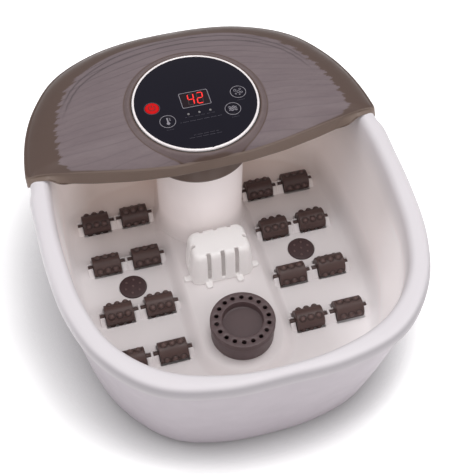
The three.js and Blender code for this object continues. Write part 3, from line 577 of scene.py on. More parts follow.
b = Build()
mx = lambda a, c, t, d=0.0: a + (c - a) * t + d
ctrl = [(ro, rzv - 13), (ro + 0.15, rzv - 7.8), (ro - 1.5, rzv - 2.7), (ro - 4.8, rzv + 0.2), (mx(ro, ri, 0.55), rim_at(mx(ro, ri, 0.55)) + 1.2),
        (ri + 3.2, rim_at(ri) + 0.2), (ri + 0.6, rim_at(ri) - 2.6), (ri - 0.8, rim_at(ri) - 8)]
ctrl.append((mx(ri, fe, 0.12), np.full(NP, 140.0)))
wide = np.maximum(ri - fe - 16.9, 0)
for off, k, z in ((11.4, 0.52, 76), (10.2, 0.26, 50), (8.7, 0.13, 38), (6.3, 0.06, 31), (3.7, 0.0, 27)):
    shell_r = (be + 1.2) + (mx(be, ro, 0.46, 0.5) - be - 1.2) * (z - 15) / 71
    ctrl.append((np.minimum(fe + off + k * wide, shell_r - 5.2), np.full(NP, float(z))))
ctrl += [(fe + 1.2, np.full(NP, FLOOR_Z + 0.85)), (fe - 1.2, np.full(NP, FLOOR_Z))]
rings = [b.ring(to_xyz(PHI, r, z)) for r, z in spline_rings(ctrl, [3, 5, 4, 6, 6, 4, 4, 6, 8, 7, 6, 5, 4, 4, 4])]
b.strips(rings)


def plat(d):
    R, top, rc = 46 + d, 80 + d, 8 + d * 0.6
    out = []
    for i in range(49):
        a = math.pi + math.pi * i / 48
        out.append((R * math.cos(a), HERB_Y + R * math.sin(a)))
    for k in range(1, 14):
        out.append((R, HERB_Y + (top - rc - HERB_Y) * k / 14))
    for a0, cx in ((0, R - rc), (90, -R + rc)):
        for i in range(9):
            a = math.radians(a0 + 90 * i / 8)
            out.append((cx + rc * math.cos(a), top - rc + rc * math.sin(a)))
    for k in range(13, 0, -1):
        out.append((-R, HERB_Y + (top - rc - HERB_Y) * k / 14))
    return np.array(out)


holes = []
prof = [(11.6 - 15.2 * k / 22, FLOOR_Z + (PLAT_Z - FLOOR_Z) * (0.25 * k / 22 + 0.75 * float(smoothstep(k / 22)))) for k in range(23)]
pr = [b.ring(np.column_stack([plat(d), np.full(len(plat(d)), z)])) for d, z in prof]
b.strips(pr)
holes.append(pr[0])
seat = b.ring(rrect(20.0, 10.0, 1.0, 3, 0, GUARD_Y, PLAT_Z))
b.flat(pr[-1], [seat])
WX, WY, WB = ROLL_L / 2 + 0.9, ROLL_R + 0.1, ROLL_Z - ROLL_R - 1.2
for sx in (-1, 1):
    for cx in ROLL_X:
        for y in ROLL_Y:
            w = [b.ring(rrect(WX + d, WY + d, 1.2 + d, 4, sx * cx, y, z)) for d, z in
                 ((0.8, FLOOR_Z), (0.35, FLOOR_Z - 0.12), (0.08, FLOOR_Z - 0.45), (0.0, FLOOR_Z - 1.0), (0.0, WB + 1.6), (-0.4, WB + 0.5), (-1.15, WB))]
            b.strips(w)
            b.flat(w[-1])
            holes.append(w[0])
    w = [b.ring(circle(CAP_R + d, 72, sx * CAP_X, CAP_Y, z)) for d, z in ((1.1, FLOOR_Z), (0.6, FLOOR_Z - 0.15), (0.35, FLOOR_Z - 0.6), (0.3, FLOOR_Z - 1.3), (-9.6, FLOOR_Z - 1.3), (-10.6, FLOOR_Z - 1.3))]
    b.strips(w)
    holes.append(w[0])
b.flat(rings[-1], holes)
# painted shade layer: darkens the rim's outer face, strongest at the front
rim_front_painted_shade = np.zeros(len(b.v))
for k in range(13):
    rim_front_painted_shade[k * NP:(k + 1) * NP] = (1 - smoothstep(k, 7, 12.5)) * (0.25 + 0.75 * smoothstep(np.cos(PHI), 0.2, 0.85))
tub = new_object("tub_bowl", b.v, b.f, WHITE, "root", ["inner_tub"], closed=False, layers={"rim_front_painted_shade": rim_front_painted_shade})
s = tub.modifiers.new("wall", "SOLIDIFY")
s.thickness, s.offset, s.use_even_offset, s.use_rim = 2.4 * MM, -1.0, False, True
applied(tub)
tub.data.set_sharp_from_angle(angle=math.radians(50))

# pillar below the panel
def pillar(R, bk):
    out = [(-R * 0.66, bk)]
    for i in range(97):
        a = math.radians(-200 + 220 * i / 96)
        out.append((R * math.cos(a), 87.5 + R * math.sin(a)))
    out.append((R * 0.66, bk))
    return np.array(out)


b = Build()
rows = []
for z in [22.0, 23.5, 24.5, 26, 28, 30, 32, 34, 36, 38.5, 42, 47, 54, 64, 80, 100, 120, 134, 139.7]:
    e = 9.0 * math.exp(-max(0.0, z - 24) / 5.0) + 3.2 * math.exp(-max(0.0, z - 33.4) / 3.2) * (1 if z > 33 else 1)
    p = pillar(47.5 + e * 0.62, 166)
    rows.append(b.ring(np.column_stack([p, np.full(len(p), z)])))
b.strips(rows)
b.flat(rows[-1])
b.flat(rows[0], flip=True)
new_object("tub_pillar", b.v, b.f, WHITE, "root", (), sharp=50)

# bearing posts with an open notch for each pin
def post(b, x0, x1, y, notch=True):
    h = ROLL_Z + 2.6
    k = [(-11.4, 20.0), (-11.4, FLOOR_Z - 0.2), (-10.9, FLOOR_Z + 0.35), (-5.0, h - 0.75), (-4.3, h - 0.15), (-3.4, h)]
    if notch:
        k += [(-3.1, h - 0.05), (-2.9, h - 0.35), (-2.8, h - 0.9), (-2.8, ROLL_Z)]
        k += [(2.8 * math.cos(a), ROLL_Z + 2.8 * math.sin(a)) for a in np.radians(np.arange(202.5, 340, 22.5))]
        k += [(2.8, ROLL_Z), (2.8, h - 0.9), (2.9, h - 0.35), (3.1, h - 0.05)]
    else:
        k += [(-1.5, h), (0, h), (1.5, h)]
    k += [(3.4, h), (4.15, h - 0.35), (4.5, h - 1.2), (4.5, 20.0)]
    poly = np.array(k)
    rows = []
    for x, g in ((x0, -0.45), (x0 + 0.14, -0.18), (x0 + 0.45, 0.0), (x1 - 0.45, 0.0), (x1 - 0.14, -0.18), (x1, -0.45)):
        q = poly.copy()
        big = np.abs(poly[:, 0]) > 3.3
        q[big, 0] += np.sign(poly[big, 0]) * g
        top = poly[:, 1] > h - 1.0
        q[top, 1] += g
        rows.append(b.ring([(x, y + u, z) for u, z in q]))
    b.strips(rows)
    b.f.append(tuple(reversed(rows[0])))
    b.f.append(tuple(rows[-1]))


for side, sx in (("left", -1), ("right", 1)):
    b = Build()
    for y in ROLL_Y:
        for x0, x1, notch in ((53.8, 59.3, True), (91.1, 96.6, True), (96.4, 98.8, False), (98.6, 104.1, True), (135.9, 141.4, True)):
            p0, p1 = (x0, x1) if sx > 0 else (-x1, -x0)
            post(b, p0, p1, y, notch)
    new_object(f"roller_posts_{side}", b.v, b.f, WHITE, "root", (), sharp=40)

# ------------------------------------------------------------------ outer shell
b = Build()
ctrl = [(be - 7, np.full(NP, 6.0)), (be - 3.4, np.full(NP, 6.5)), (be - 1.0, np.full(NP, 8.8)), (be + 1.2, np.full(NP, 15.0)),
        (mx(be, ro, 0.46, 0.5), np.full(NP, 86.0)), (ro - 4.9, rzv - 19), (ro - 4.2, rzv - 8.2)]
rings = [b.ring(to_xyz(PHI, r, z)) for r, z in reversed(spline_rings(ctrl, [3, 3, 4, 16, 14, 3]))]
b.strips(rings)
shell = new_object("body_shell", b.v, b.f, SHELL, "root", ["outer_shell"], closed=False)
s = shell.modifiers.new("wall", "SOLIDIFY")
s.thickness, s.offset, s.use_even_offset, s.use_rim = 2.4 * MM, 1.0, False, True
applied(shell)
bm = bmesh.new()
bm.from_mesh(shell.data)
bmesh.ops.recalc_face_normals(bm, faces=bm.faces)
bm.to_mesh(shell.data)
bm.free()
shell.data.set_sharp_from_angle(angle=math.radians(50))

# ------------------------------------------------------------------ hood
FRONT = np.array([[0, 22.5, 192, 178], [40, 26, 189, 174.5], [80, 35.5, 185.3, 168.5], [120, 46.2, 183.2, 165.6], [142, 50.0, 184.4, 168.5],
                  [152, 51.0, 185.7, 173.4], [158, 51.5, 186.7, 178.6], [163, 51.9, 187.4, 182.9], [166, 52.2, 187.7, 184.3], [170, 52.7, 188, 184.6], [187, 56.4, 188, 184.0]])
FX = np.arange(0, 190.01, 0.5)
_k = np.exp(-0.5 * (np.arange(-16, 17) / 5.0) ** 2)
_k /= _k.sum()


def _smooth_front(col, even=True, width=_k):
    v = np.interp(FX, FRONT[:, 0], FRONT[:, col])
    pad = len(width) // 2
    w = np.concatenate([v[pad:0:-1], v, np.full(pad, v[-1]) + (v[-1] - v[-2]) * np.arange(1, pad + 1)])
    return np.convolve(w, width, "valid")


FY, FZ, FL = _smooth_front(1), _smooth_front(2), _smooth_front(3)


def front_at(x):
    a = np.clip(np.abs(x), 0, 189.9)
    return np.interp(a, FX, FY), np.interp(a, FX, FZ), np.interp(a, FX, FL)


def dist_outline(x, y):
    return outline(np.arctan2(x, -(y - CY))) - np.hypot(x, y - CY)


def z_flat(y):
    return PANEL_Z - 2 + math.tan(TILT) * (y - PANEL_Y)


def edge_points(n):
    a = 2 * np.pi * np.arange(14400) / 14400
    lo, hi = np.full(len(a), 20.0), np.full(len(a), 330.0)
    for _ in range(44):
        m = (lo + hi) / 2
        x, y = m * np.sin(a), PANEL_Y - m * np.cos(a)
        ok = (dist_outline(x, y) > 0) & (y > front_at(x)[0])
        lo, hi = np.where(ok, m, lo), np.where(ok, hi, m)
    p = np.stack([lo * np.sin(a), PANEL_Y - lo * np.cos(a)], 1)
    q = np.concatenate([p, p[:1]])
    s = np.concatenate([[0], np.cumsum(np.linalg.norm(np.diff(q, axis=0), axis=1))])
    at = np.linspace(0, s[-1], n * 4, endpoint=False)
    e = np.stack([np.interp(at, s, q[:, 0]), np.interp(at, s, q[:, 1])], 1)
    w = np.hanning(31)
    w /= w.sum()
    e = np.stack([np.convolve(np.concatenate([e[-15:, k], e[:, k], e[:15, k]]), w, "valid") for k in (0, 1)], 1)
    return e[::4]


NH = 640
E = edge_points(NH)
DIR = E - np.array([0, PANEL_Y])
RE = np.linalg.norm(DIR, axis=1)
DIR = DIR / RE[:, None]
SIDE = smoothstep(np.abs(E[:, 0]), 60, 165)


def shoulder(x, y):
    """How far the hood's rounded side has dropped at (x, y)."""
    e = np.maximum(dist_outline(x, y), 0)
    w = 20 + 10 * smoothstep(np.abs(x), 60, 165)
    t = np.clip(1 - e / w, 0, 1)
    return 9.6 * (1 - np.sqrt(np.maximum(0, 1 - t**2.3)))


def plank(x, y):
    c = 0.0018 * smoothstep(y, 50, 200)
    q = y + c * x * x
    u = q / 11.0 + 0.10 * np.sin(x / 31 + q / 40) + 0.06 * np.sin(x / 13 - q / 25)
    fr = u - np.floor(u)
    return u, fr


def field_at(x, y):
    u, fr = plank(x, y)
    e = dist_outline(x, y)
    edge = 25.5 + 7.0 * smoothstep(np.abs(x), 60, 160) + (4.5 + 3.5 * smoothstep(-y, -110, -55)) * (x < 0) * smoothstep(np.abs(x), 90, 140) * smoothstep(-y, -150, -90)
    brush = 2.2 * np.sin(2 * np.pi * fr**0.6 + 1.0) + 1.3 * np.sin(u * 4.1 + 0.7) + 1.0 * np.sin(u * 15.3 + np.sign(x)) + 0.8 * np.sin(u * 27.7)
    edge = edge + brush * smoothstep(np.abs(x), 80, 135)
    yf, _, _ = front_at(x)
    p, q = (e - edge) / 9.0, (y - yf - 2.4) / 9.0
    corner = np.where((p < 1) & (q < 1), 1 - np.hypot(1 - p, 1 - q), np.minimum(p, q)) * 9.0
    return smoothstep(corner, -0.7, 0.7) * smoothstep(np.hypot(x, y - PANEL_Y), 74.2, 75.3)


CALM = np.hanning(51)[1:-1]
CALM /= CALM.sum()


def hood_top(s, i=None):
    """Points of the hood's top at share s of the way from the flat ring to the edge inset."""
    inset = np.maximum(RE - 3.0, 71.6)
    r = 68.6 + (inset - 68.6) * s
    P = np.array([0, PANEL_Y]) + DIR * r[:, None]
    x, y = P[:, 0], P[:, 1]
    yf, zf, _ = front_at(E[:, 0])
    t = np.clip((E[:, 1] - yf) / 30, 0, 1)
    z1 = zf + (188 - zf) * t
    calm = np.convolve(np.concatenate([z1[-24:], z1, z1[:24]]), CALM, "valid")
    z0 = z_flat(PANEL_Y + 68.6 * DIR[:, 1]) - 1
    z = z0 + (calm - z0) * s**1.6 + (z1 - calm) * s**5 - shoulder(x, y)
    return x, y, z, r


b = Build()
hood_rows = []
FIELD, GROOVE, LIP_PAINTED_LIGHT = [], [], []


# lip is a painted-light layer for the front band, not the raised lip by the panel ring
def hood_ring(x, y, z, field=None, groove=None, lip=None):
    hood_rows.append(b.ring(np.stack([x, y, z], 1)))
    FIELD.extend(np.zeros(NH) if field is None else field)
    GROOVE.extend(np.zeros(NH) if groove is None else groove)
    LIP_PAINTED_LIGHT.extend(np.zeros(NH) if lip is None else lip)


def polar_ring(r, dz):
    P = np.array([0, PANEL_Y]) + DIR * r
    hood_ring(P[:, 0], P[:, 1], z_flat(P[:, 1]) + dz)


for r, dz in ((61.5, -5.0), (61.5, -2.2), (66.6, -2.2), (66.65, -0.4), (66.85, 0.15), (67.2, 0.45), (67.8, 0.55)):
    polar_ring(r, dz)
NS = 84
for k in range(NS + 1):
    s = (k / NS) ** 1.15
    x, y, z, r = hood_top(s)
    f = field_at(x, y)
    u, fr = plank(x, y)
    step = fr * (1 - smoothstep(fr, 0.86, 0.99))
    relief = f * (0.28 * step - 0.2)
    g = (0.28 + 0.72 * smoothstep(y, 140, 180)) * f * np.exp(-(((fr - 0.93) / 0.05) ** 2))
    e = dist_outline(x, y)
    arcs = f * (np.exp(-(((e - 31.5 - 4 * SIDE) / 0.9) ** 2)) * smoothstep(y, 120, 150) + np.exp(-(((e - 41.0) / 0.9) ** 2)) * smoothstep(y, 110, 140))
    lip = 1.25 * (1 - smoothstep(r, 70.2, 73.0)) - 0.55 * np.exp(-(((r - 73.7) / 0.6) ** 2))
    lip = lip * smoothstep(s * np.maximum(RE - 71, 0) + 1, 0, 1)
    near_ring = 0.6 * (1 - smoothstep(r, 73.0, 74.2)) * smoothstep(y - front_at(x)[0], 1.6, 3.2)
    hood_ring(x, y, z + relief + lip * np.where(RE > 76, 1.0, 0.45) - 0.45 * arcs + (0.55 - 0.55 * smoothstep(r, 67.8, 68.6)), np.maximum(f, near_ring), np.clip(g + 0.9 * arcs, 0, 1))
xe, ye, ze, _ = hood_top(1.0)
_, _, zl = front_at(E[:, 0])
t9 = np.clip((E[:, 1] - front_at(E[:, 0])[0] - 1) / 9, 0, 1)
eo = dist_outline(E[:, 0], E[:, 1] + 0)
# rounded front edge; lip= here paints the front band lighter (painted light)
for k in range(1, 7):
    a = math.pi / 2 * k / 6
    q = np.array([0, PANEL_Y]) + DIR * (np.maximum(RE - 3, 71.6) + (RE - np.maximum(RE - 3, 71.6)) * math.sin(a))[:, None]
    hood_ring(q[:, 0], q[:, 1], ze - 2.6 * (1 - math.cos(a)), lip=(0.35 + 0.1 * k) * (1 - smoothstep(t9, 0.0, 0.6)))
on_front = dist_outline(E[:, 0], E[:, 1])
rim_top = 183.6 - 12.0 * (1 - smoothstep(on_front, 1.0, 8.5)) ** 1.5
low = np.minimum(zl, rim_top + 1.0)
low = np.where(np.abs(E[:, 0]) < 166, zl, low)
low = low + (171 - low) * t9
low = np.where(on_front < 3.2, np.minimum(low, 180.5 - 9.5 * t9), low)
low = np.minimum(low, ze - 3.6)
kk = np.hanning(9)
kk /= kk.sum()
low = np.convolve(np.concatenate([low[-4:], low, low[:4]]), kk, "valid")
ztop = ze - 2.6
lean = 4.9 * smoothstep(np.abs(E[:, 0]), 138, 156) * (1 - smoothstep(t9, 0.0, 0.5))
LE = np.stack([np.zeros(NH), -lean], 1)
# front face down to the lower edge; lip= again paints it lighter (painted light)
for k in range(1, 7):
    q = E + LE * (k / 6)
    hood_ring(q[:, 0], q[:, 1], ztop + (low + 0.7 - ztop) * k / 6, lip=0.95 * (1 - smoothstep(t9, 0.0, 0.6)))
q = E + LE - DIR * 0.25
hood_ring(q[:, 0], q[:, 1], low + 0.2)
q = E + LE - DIR * 0.8
hood_ring(q[:, 0], q[:, 1], low)
rin = np.maximum(RE - 2.5, 62.5)
q = np.array([0, PANEL_Y]) + DIR * rin[:, None] + LE
hood_ring(q[:, 0], q[:, 1], low)
q = np.array([0, PANEL_Y]) + DIR * np.maximum(RE - 2.7, 62.4)[:, None]
hood_ring(q[:, 0], q[:, 1], np.maximum(ze - 5.4, low + 0.3))
for s in (0.985, 0.95, 0.9, 0.84, 0.76, 0.64, 0.5, 0.34, 0.18, 0.05):
    x, y, z, r = hood_top(s)
    k = np.minimum(1, (np.maximum(RE - 5, 62.3)) / r)
    hood_ring(0 + x * k, PANEL_Y + (y - PANEL_Y) * k, z - 3.1)
polar_ring(62.3, -5.0)
for a_, c_ in zip(hood_rows, hood_rows[1:] + hood_rows[:1]):
    b.strip(a_, c_)
new_object("hood_moulding", b.v, b.f, HOOD, "root", ["hood_cover"], layers={"field": FIELD, "groove": GROOVE, "lip": LIP_PAINTED_LIGHT}, sharp=62)

# ------------------------------------------------------------------ collar over the pillar
prof = rounded([(11, 140), (58, 140), (58, 192.2), (55.6, 192.2), (55.6, 142.6), (11, 142.6)], [0, 5.0, 0.6, 0.6, 2.5, 0], 7)
v, f = lathe(prof, 192, 0, PANEL_Y, closed_profile=True)
new_object("collar_moulding", v, f, COLLAR, "root", ["panel_collar"], sharp=50)

# ------------------------------------------------------------------ control panel
PANEL_ROT = (TILT, 0, 0)
PANEL_AT = (0, PANEL_Y, PANEL_Z)
BUTTONS = {"power_button": (-45.8, 1.4), "bubble_button": (45.8, 1.4), "temp_button": (-34.3, -19.7), "massage_button": (34.3, -19.7)}
LAMPS = ((-11.6, -15.2), (0, -15.2), (11.6, -15.2))


def panel_piece(name, v, f, mat, body="root", replaces=(), sharp=35):
    c, s_ = math.cos(TILT), math.sin(TILT)
    v = np.asarray(v, float)
    w = np.stack([v[:, 0], PANEL_Y + v[:, 1] * c - v[:, 2] * s_, PANEL_Z + v[:, 1] * s_ + v[:, 2] * c], 1)
    return new_object(name, w, f, mat, body, replaces, sharp=sharp)


prof = rounded([(63.5, -2.15), (63.5, -0.1), (64.5, 0.5), (65.5, -0.1), (65.85, -1.0), (65.85, -2.15)], [0, 0.3, 1.0, 0.5, 0.3, 0], 6)
v, f = lathe(prof, 256, closed_profile=True)
v = np.array(v)
# the ring's small notch at the front
near = np.exp(-(((v[:, 0] - 1.5) / 0.9) ** 2)) * (v[:, 1] < 0) * (v[:, 2] > -1.5)
v[:, 2] -= 0.9 * near
panel_piece("bezel_ring", v, f, RING, "root", ["panel_bezel"], sharp=60)

b = Build()
outer = [b.ring(circle(r, 240, z=z)) for r, z in ((63.4, -2.2), (63.4, -0.35), (63.25, -0.2))]
b.strips(outer)
holes_t, holes_b = [], []
shapes = [circle(7.7, 64, x, y) for x, y in BUTTONS.values()] + [rrect(14.5, 9.7, 1.5, 5, 0, 3.5)] + [circle(1.8, 24, x, y) for x, y in LAMPS]
for pts in shapes:
    h_t = b.ring(np.column_stack([pts, np.full(len(pts), -0.2)]))
    h_b = b.ring(np.column_stack([pts, np.full(len(pts), -2.2)]))
    b.strip(h_t, h_b)
    holes_t.append(h_t)
    holes_b.append(h_b)
b.flat(outer[-1], holes_t)
b.flat(outer[0], holes_b, flip=True)
panel_piece("panel_face", b.v, b.f, PANEL, "root", ["panel_disc"])

b = Build()
rr_ = [b.ring(rrect(14.2 - d, 9.4 - d, 1.2, 5, 0, 3.5, z)) for d, z in ((0.15, -2.2), (0, -2.05), (0, -0.25), (0.15, -0.1))]
b.strips(rr_)
b.flat(rr_[-1])
b.flat(rr_[0], flip=True)
panel_piece("display_pane", b.v, b.f, GLASS, "root", ["display_window"])


def prism(b, pts, z0, z1):
    """A thin raised print in the panel's own frame."""
    lo_, hi_ = b.ring(np.column_stack([pts, np.full(len(pts), z0)])), b.ring(np.column_stack([pts, np.full(len(pts), z1)]))
    b.strip(lo_, hi_)
    b.flat(hi_)
    b.flat(lo_, flip=True)


def frame_prism(b, outer_pts, inner_pts, z0, z1):
    a, c = b.ring(np.column_stack([outer_pts, np.full(len(outer_pts), z0)])), b.ring(np.column_stack([outer_pts, np.full(len(outer_pts), z1)]))
    d, e = b.ring(np.column_stack([inner_pts, np.full(len(inner_pts), z1)])), b.ring(np.column_stack([inner_pts, np.full(len(inner_pts), z0)]))
    b.strip(a, c)
    b.strip(c, d)
    b.strip(d, e)
    b.strip(e, a)


def capsule(x0, y0, x1, y1, r, n=7):
    d = np.array([x1 - x0, y1 - y0])
    a0 = math.atan2(d[1], d[0])
    out = [(x1 + r * math.cos(a0 + t), y1 + r * math.sin(a0 + t)) for t in np.linspace(-math.pi / 2, math.pi / 2, n)]
    out += [(x0 + r * math.cos(a0 + t), y0 + r * math.sin(a0 + t)) for t in np.linspace(math.pi / 2, 3 * math.pi / 2, n)]
    return np.array(out)


def stroke(b, pts, r, z0, z1):
    """A line of even width through the points, as one prism."""
    p = np.array(pts, float)
    t = np.gradient(p, axis=0)
    t /= np.linalg.norm(t, axis=1)[:, None]
    nrm = np.stack([-t[:, 1], t[:, 0]], 1)
    prism(b, np.concatenate([p - nrm * r, (p + nrm * r)[::-1]]), z0, z1)


def arc(cx, cy, r, a0, a1, n=20):
    t = np.radians(np.linspace(a0, a1, n))
    return np.stack([cx + r * np.cos(t), cy + r * np.sin(t)], 1)


# printed marks on the face
b = Build()
for name, (x, y) in BUTTONS.items():
    if name != "power_button":
        frame_prism(b, circle(8.35, 72, x, y), circle(7.72, 72, x, y), -0.22, -0.13)
frame_prism(b, rrect(15.3, 10.4, 1.4, 6, 0, 3.5), rrect(14.65, 9.8, 1.0, 6, 0, 3.5), -0.22, -0.13)
panel_piece("print_frames", b.v, b.f, PRINT)
b = Build()
x, y = BUTTONS["power_button"]
frame_prism(b, circle(8.3, 72, x, y), circle(7.75, 72, x, y), -0.22, -0.13)
# faint generic dashes below the lamps and near the front of the face
row = lambda x0, x1, y, r, gap, seed: [(x0 + k * gap, y) for k in range(int((x1 - x0) / gap)) if (k * 7 + seed) % 5]
for x0, x1, y, r, gap, seed in ((-16, -7, -19.3, 0.22, 1.25, 1), (-5, 5, -19.3, 0.22, 1.25, 2), (7, 16, -19.3, 0.22, 1.25, 4),
                                (-22, 22, -25.0, 0.28, 1.45, 3), (-13, 13, -44.0, 0.24, 1.3, 1), (-18, 18, -47.0, 0.26, 1.4, 2)):
    for px, py in row(x0, x1, y, r, gap, seed):
        prism(b, capsule(px, py, px + gap * 0.45, py, r, 4), -0.22, -0.14)
for name, (bx, by) in BUTTONS.items():
    if name != "power_button":
        for k in range(-2, 3):
            prism(b, capsule(bx + k * 1.6 - 0.4, by - 11.2, bx + k * 1.6 + 0.4, by - 11.2, 0.22, 4), -0.22, -0.14)
panel_piece("print_dashes", b.v, b.f, PRINTD)

# seven-segment digits: 4 and 2
def digit(b, bo, cx, cy, on):
    w, h, r, sl = 2.9, 3.6, 0.55, 0.10
    seg = {"a": ((-w, 2 * h), (w, 2 * h)), "g": ((-w, 0), (w, 0)), "d": ((-w, -2 * h), (w, -2 * h)), "f": ((-w, 2 * h), (-w, 0)),
           "b": ((w, 2 * h), (w, 0)), "e": ((-w, 0), (-w, -2 * h)), "c": ((w, 0), (w, -2 * h))}
    for k, ((x0, y0), (x1, y1)) in seg.items():
        d = np.array([x1 - x0, y1 - y0], float)
        L = np.linalg.norm(d)
        d /= L
        nr = np.array([-d[1], d[0]])
        p0, p1 = np.array([x0, y0]) + d * 0.28, np.array([x1, y1]) - d * 0.28
        pts = np.array([p0, p0 + d * r - nr * r, p1 - d * r - nr * r, p1, p1 - d * r + nr * r, p0 + d * r + nr * r])
        pts[:, 0] += pts[:, 1] * sl
        prism(b if k in on else bo, pts + np.array([cx, cy]), -0.12, -0.02)


b, bo = Build(), Build()
digit(b, bo, -4.2, 3.5, "fgbc")
digit(b, bo, 5.4, 3.5, "abged")
panel_piece("digits_lit", b.v, b.f, DIGIT)
panel_piece("digits_unlit", bo.v, bo.f, DIGOFF)

for name, (x, y) in BUTTONS.items():
    prof = rounded([(0, -4.4), (8.3, -4.4), (8.3, -3.4), (7.25, -3.4), (7.25, 0.35), (0, 0.18)], [0, 0.2, 0.2, 0, 0.8, 0], 6)
    v, f = lathe(prof, 96, x, y)
    red = name == "power_button"
    panel_piece(name.replace("_button", "_cap"), v, f, REDB if red else PANEL, name, [name])
    b = Build()
    z0, z1 = 0.15, 0.36
    if red:
        stroke(b, arc(x, y, 3.4, 125, 415, 28), 0.42, z0, z1)
        prism(b, capsule(x, y + 1.2, x, y + 4.4, 0.42), z0, z1)
    elif name == "bubble_button":
        for dx, dy, r in ((-3.0, 2.2, 1.5), (2.6, 2.9, 1.15), (0.1, -0.5, 1.7), (-3.1, -2.6, 0.95), (3.3, -1.6, 1.25), (0.6, -4.2, 0.8)):
            frame_prism(b, circle(r, 28, x + dx, y + dy), circle(r - 0.48, 28, x + dx, y + dy), z0, z1)
    elif name == "temp_button":
        prism(b, capsule(x, y - 2.0, x, y + 3.8, 0.75, 9), z0, z1)
        prism(b, circle(1.75, 32, x, y - 3.2), z0, z1 + 0.01)
        for k in range(3):
            prism(b, capsule(x + 1.9, y + 0.2 + 1.5 * k, x + 3.1, y + 0.2 + 1.5 * k, 0.26, 5), z0, z1)
    else:
        for dy in (2.2, 0.0, -2.2):
            t = np.linspace(-4.2, 4.2, 29)
            stroke(b, np.stack([x + t, y + dy + 0.75 * np.sin(t * 1.5)], 1), 0.42, z0, z1)
    panel_piece(name.replace("_button", "_mark"), b.v, b.f, REDP if red else PRINT, name)
for k, (x, y) in enumerate(LAMPS):
    v, f = lathe(rounded([(0, -5.6), (1.35, -5.6), (1.35, 0.12), (0, 0.12)], [0, 0.2, 0.7, 0], 5), 32, x, y)
    panel_piece(f"lamp_lens_{k + 1}", v, f, LAMP, "root", [f"lamp_{k + 1}"])

# ------------------------------------------------------------------ massage rollers
def roller_mesh():
    n, rows_ = 176, 4
    th = 2 * np.pi * np.arange(n) / n
    h = ROLL_L / 2
    body = np.concatenate([[-h, -h + 0.12, -h + 0.5], np.linspace(-h + 0.9, h - 0.9, 72), [h - 0.5, h - 0.12, h]])
    b = Build()
    ring = lambda x, r: b.ring(np.stack([np.full(n, x), r * np.cos(th), r * np.sin(th)], 1))
    rr = lambda v: np.full(n, v)
    a = (th * rows_ / (2 * np.pi)) % 1.0
    a = np.minimum(a, 1 - a) * 90.0  # degrees from the nearest knob row
    base = 11.3 + 0.08 * smoothstep(a, 18.0, 28.0)
    end = PIN_R + 0.55
    knob_light_and_shade_rows = []
    rows = [ring(-h - 5.7, rr(end - 0.5)), ring(-h - 5.5, rr(end - 0.15)), ring(-h - 5.1, rr(end)), ring(-h, rr(end))]
    for x in body:
        trim = 0.55 * (1 - smoothstep(h - abs(x), 0, 0.5))
        d = np.full(n, 99.0)
        for kx in (-8.9, 0.0, 8.9):
            d = np.minimum(d, np.hypot(x - kx, np.radians(a) * 12.2))
        knob = 10.9 + 2.7 * np.sqrt(np.maximum(0, 1 - (d / 3.5) ** 2)) ** 1.1
        rows.append(ring(x, np.maximum(base, knob) - trim))
        # painted light layer: 1 at knob tips (painted highlight), 0 in a ring round each knob's foot (painted shade)
        knob_light_and_shade_rows.append(0.5 + 0.5 * (1 - smoothstep(d, 0.3, 2.9)) - 0.5 * np.exp(-(((d - 3.9) / 0.6) ** 2)))
    rows += [ring(h, rr(end)), ring(h + 5.1, rr(end)), ring(h + 5.5, rr(end - 0.15)), ring(h + 5.7, rr(end - 0.5))]
    b.strips(rows)
    b.f.append(tuple(rows[0]))
    b.f.append(tuple(reversed(rows[-1])))
    b.knob = np.concatenate([np.full(4 * n, 0.5), *knob_light_and_shade_rows, np.full(4 * n, 0.5)])
    return b


rb = roller_mesh()
first = None
PHASE = {"left": [(81, 67), (45, 43), (72, 70), (7, 47)], "right": [(29, 71), (81, 2), (37, 35), (67, 77)]}
for side, sx in (("left", -1), ("right", 1)):
    for k, y in enumerate(ROLL_Y):
        for m_, x in enumerate(ROLL_X):
            node = f"roller_{side}_{k + 1}_{'outer' if m_ else 'inner'}"
            rot = (math.radians(PHASE[side][k][m_]), 0, 0)
            name = node.replace("roller_", "massage_roller_")
            if first is None:
                o = new_object(name, rb.v, rb.f, ROLL, node, [node], sharp=48, location=(sx * x, y, ROLL_Z), rotation=rot, layers={"knob": rb.knob})
                first = o
            else:
                o = bpy.data.objects.new(name, first.data)
                scene.collection.objects.link(o)
                o.location = Vector((sx * x, y, ROLL_Z)) * MM
                o.rotation_euler = rot
                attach(o, node)
                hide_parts(node)

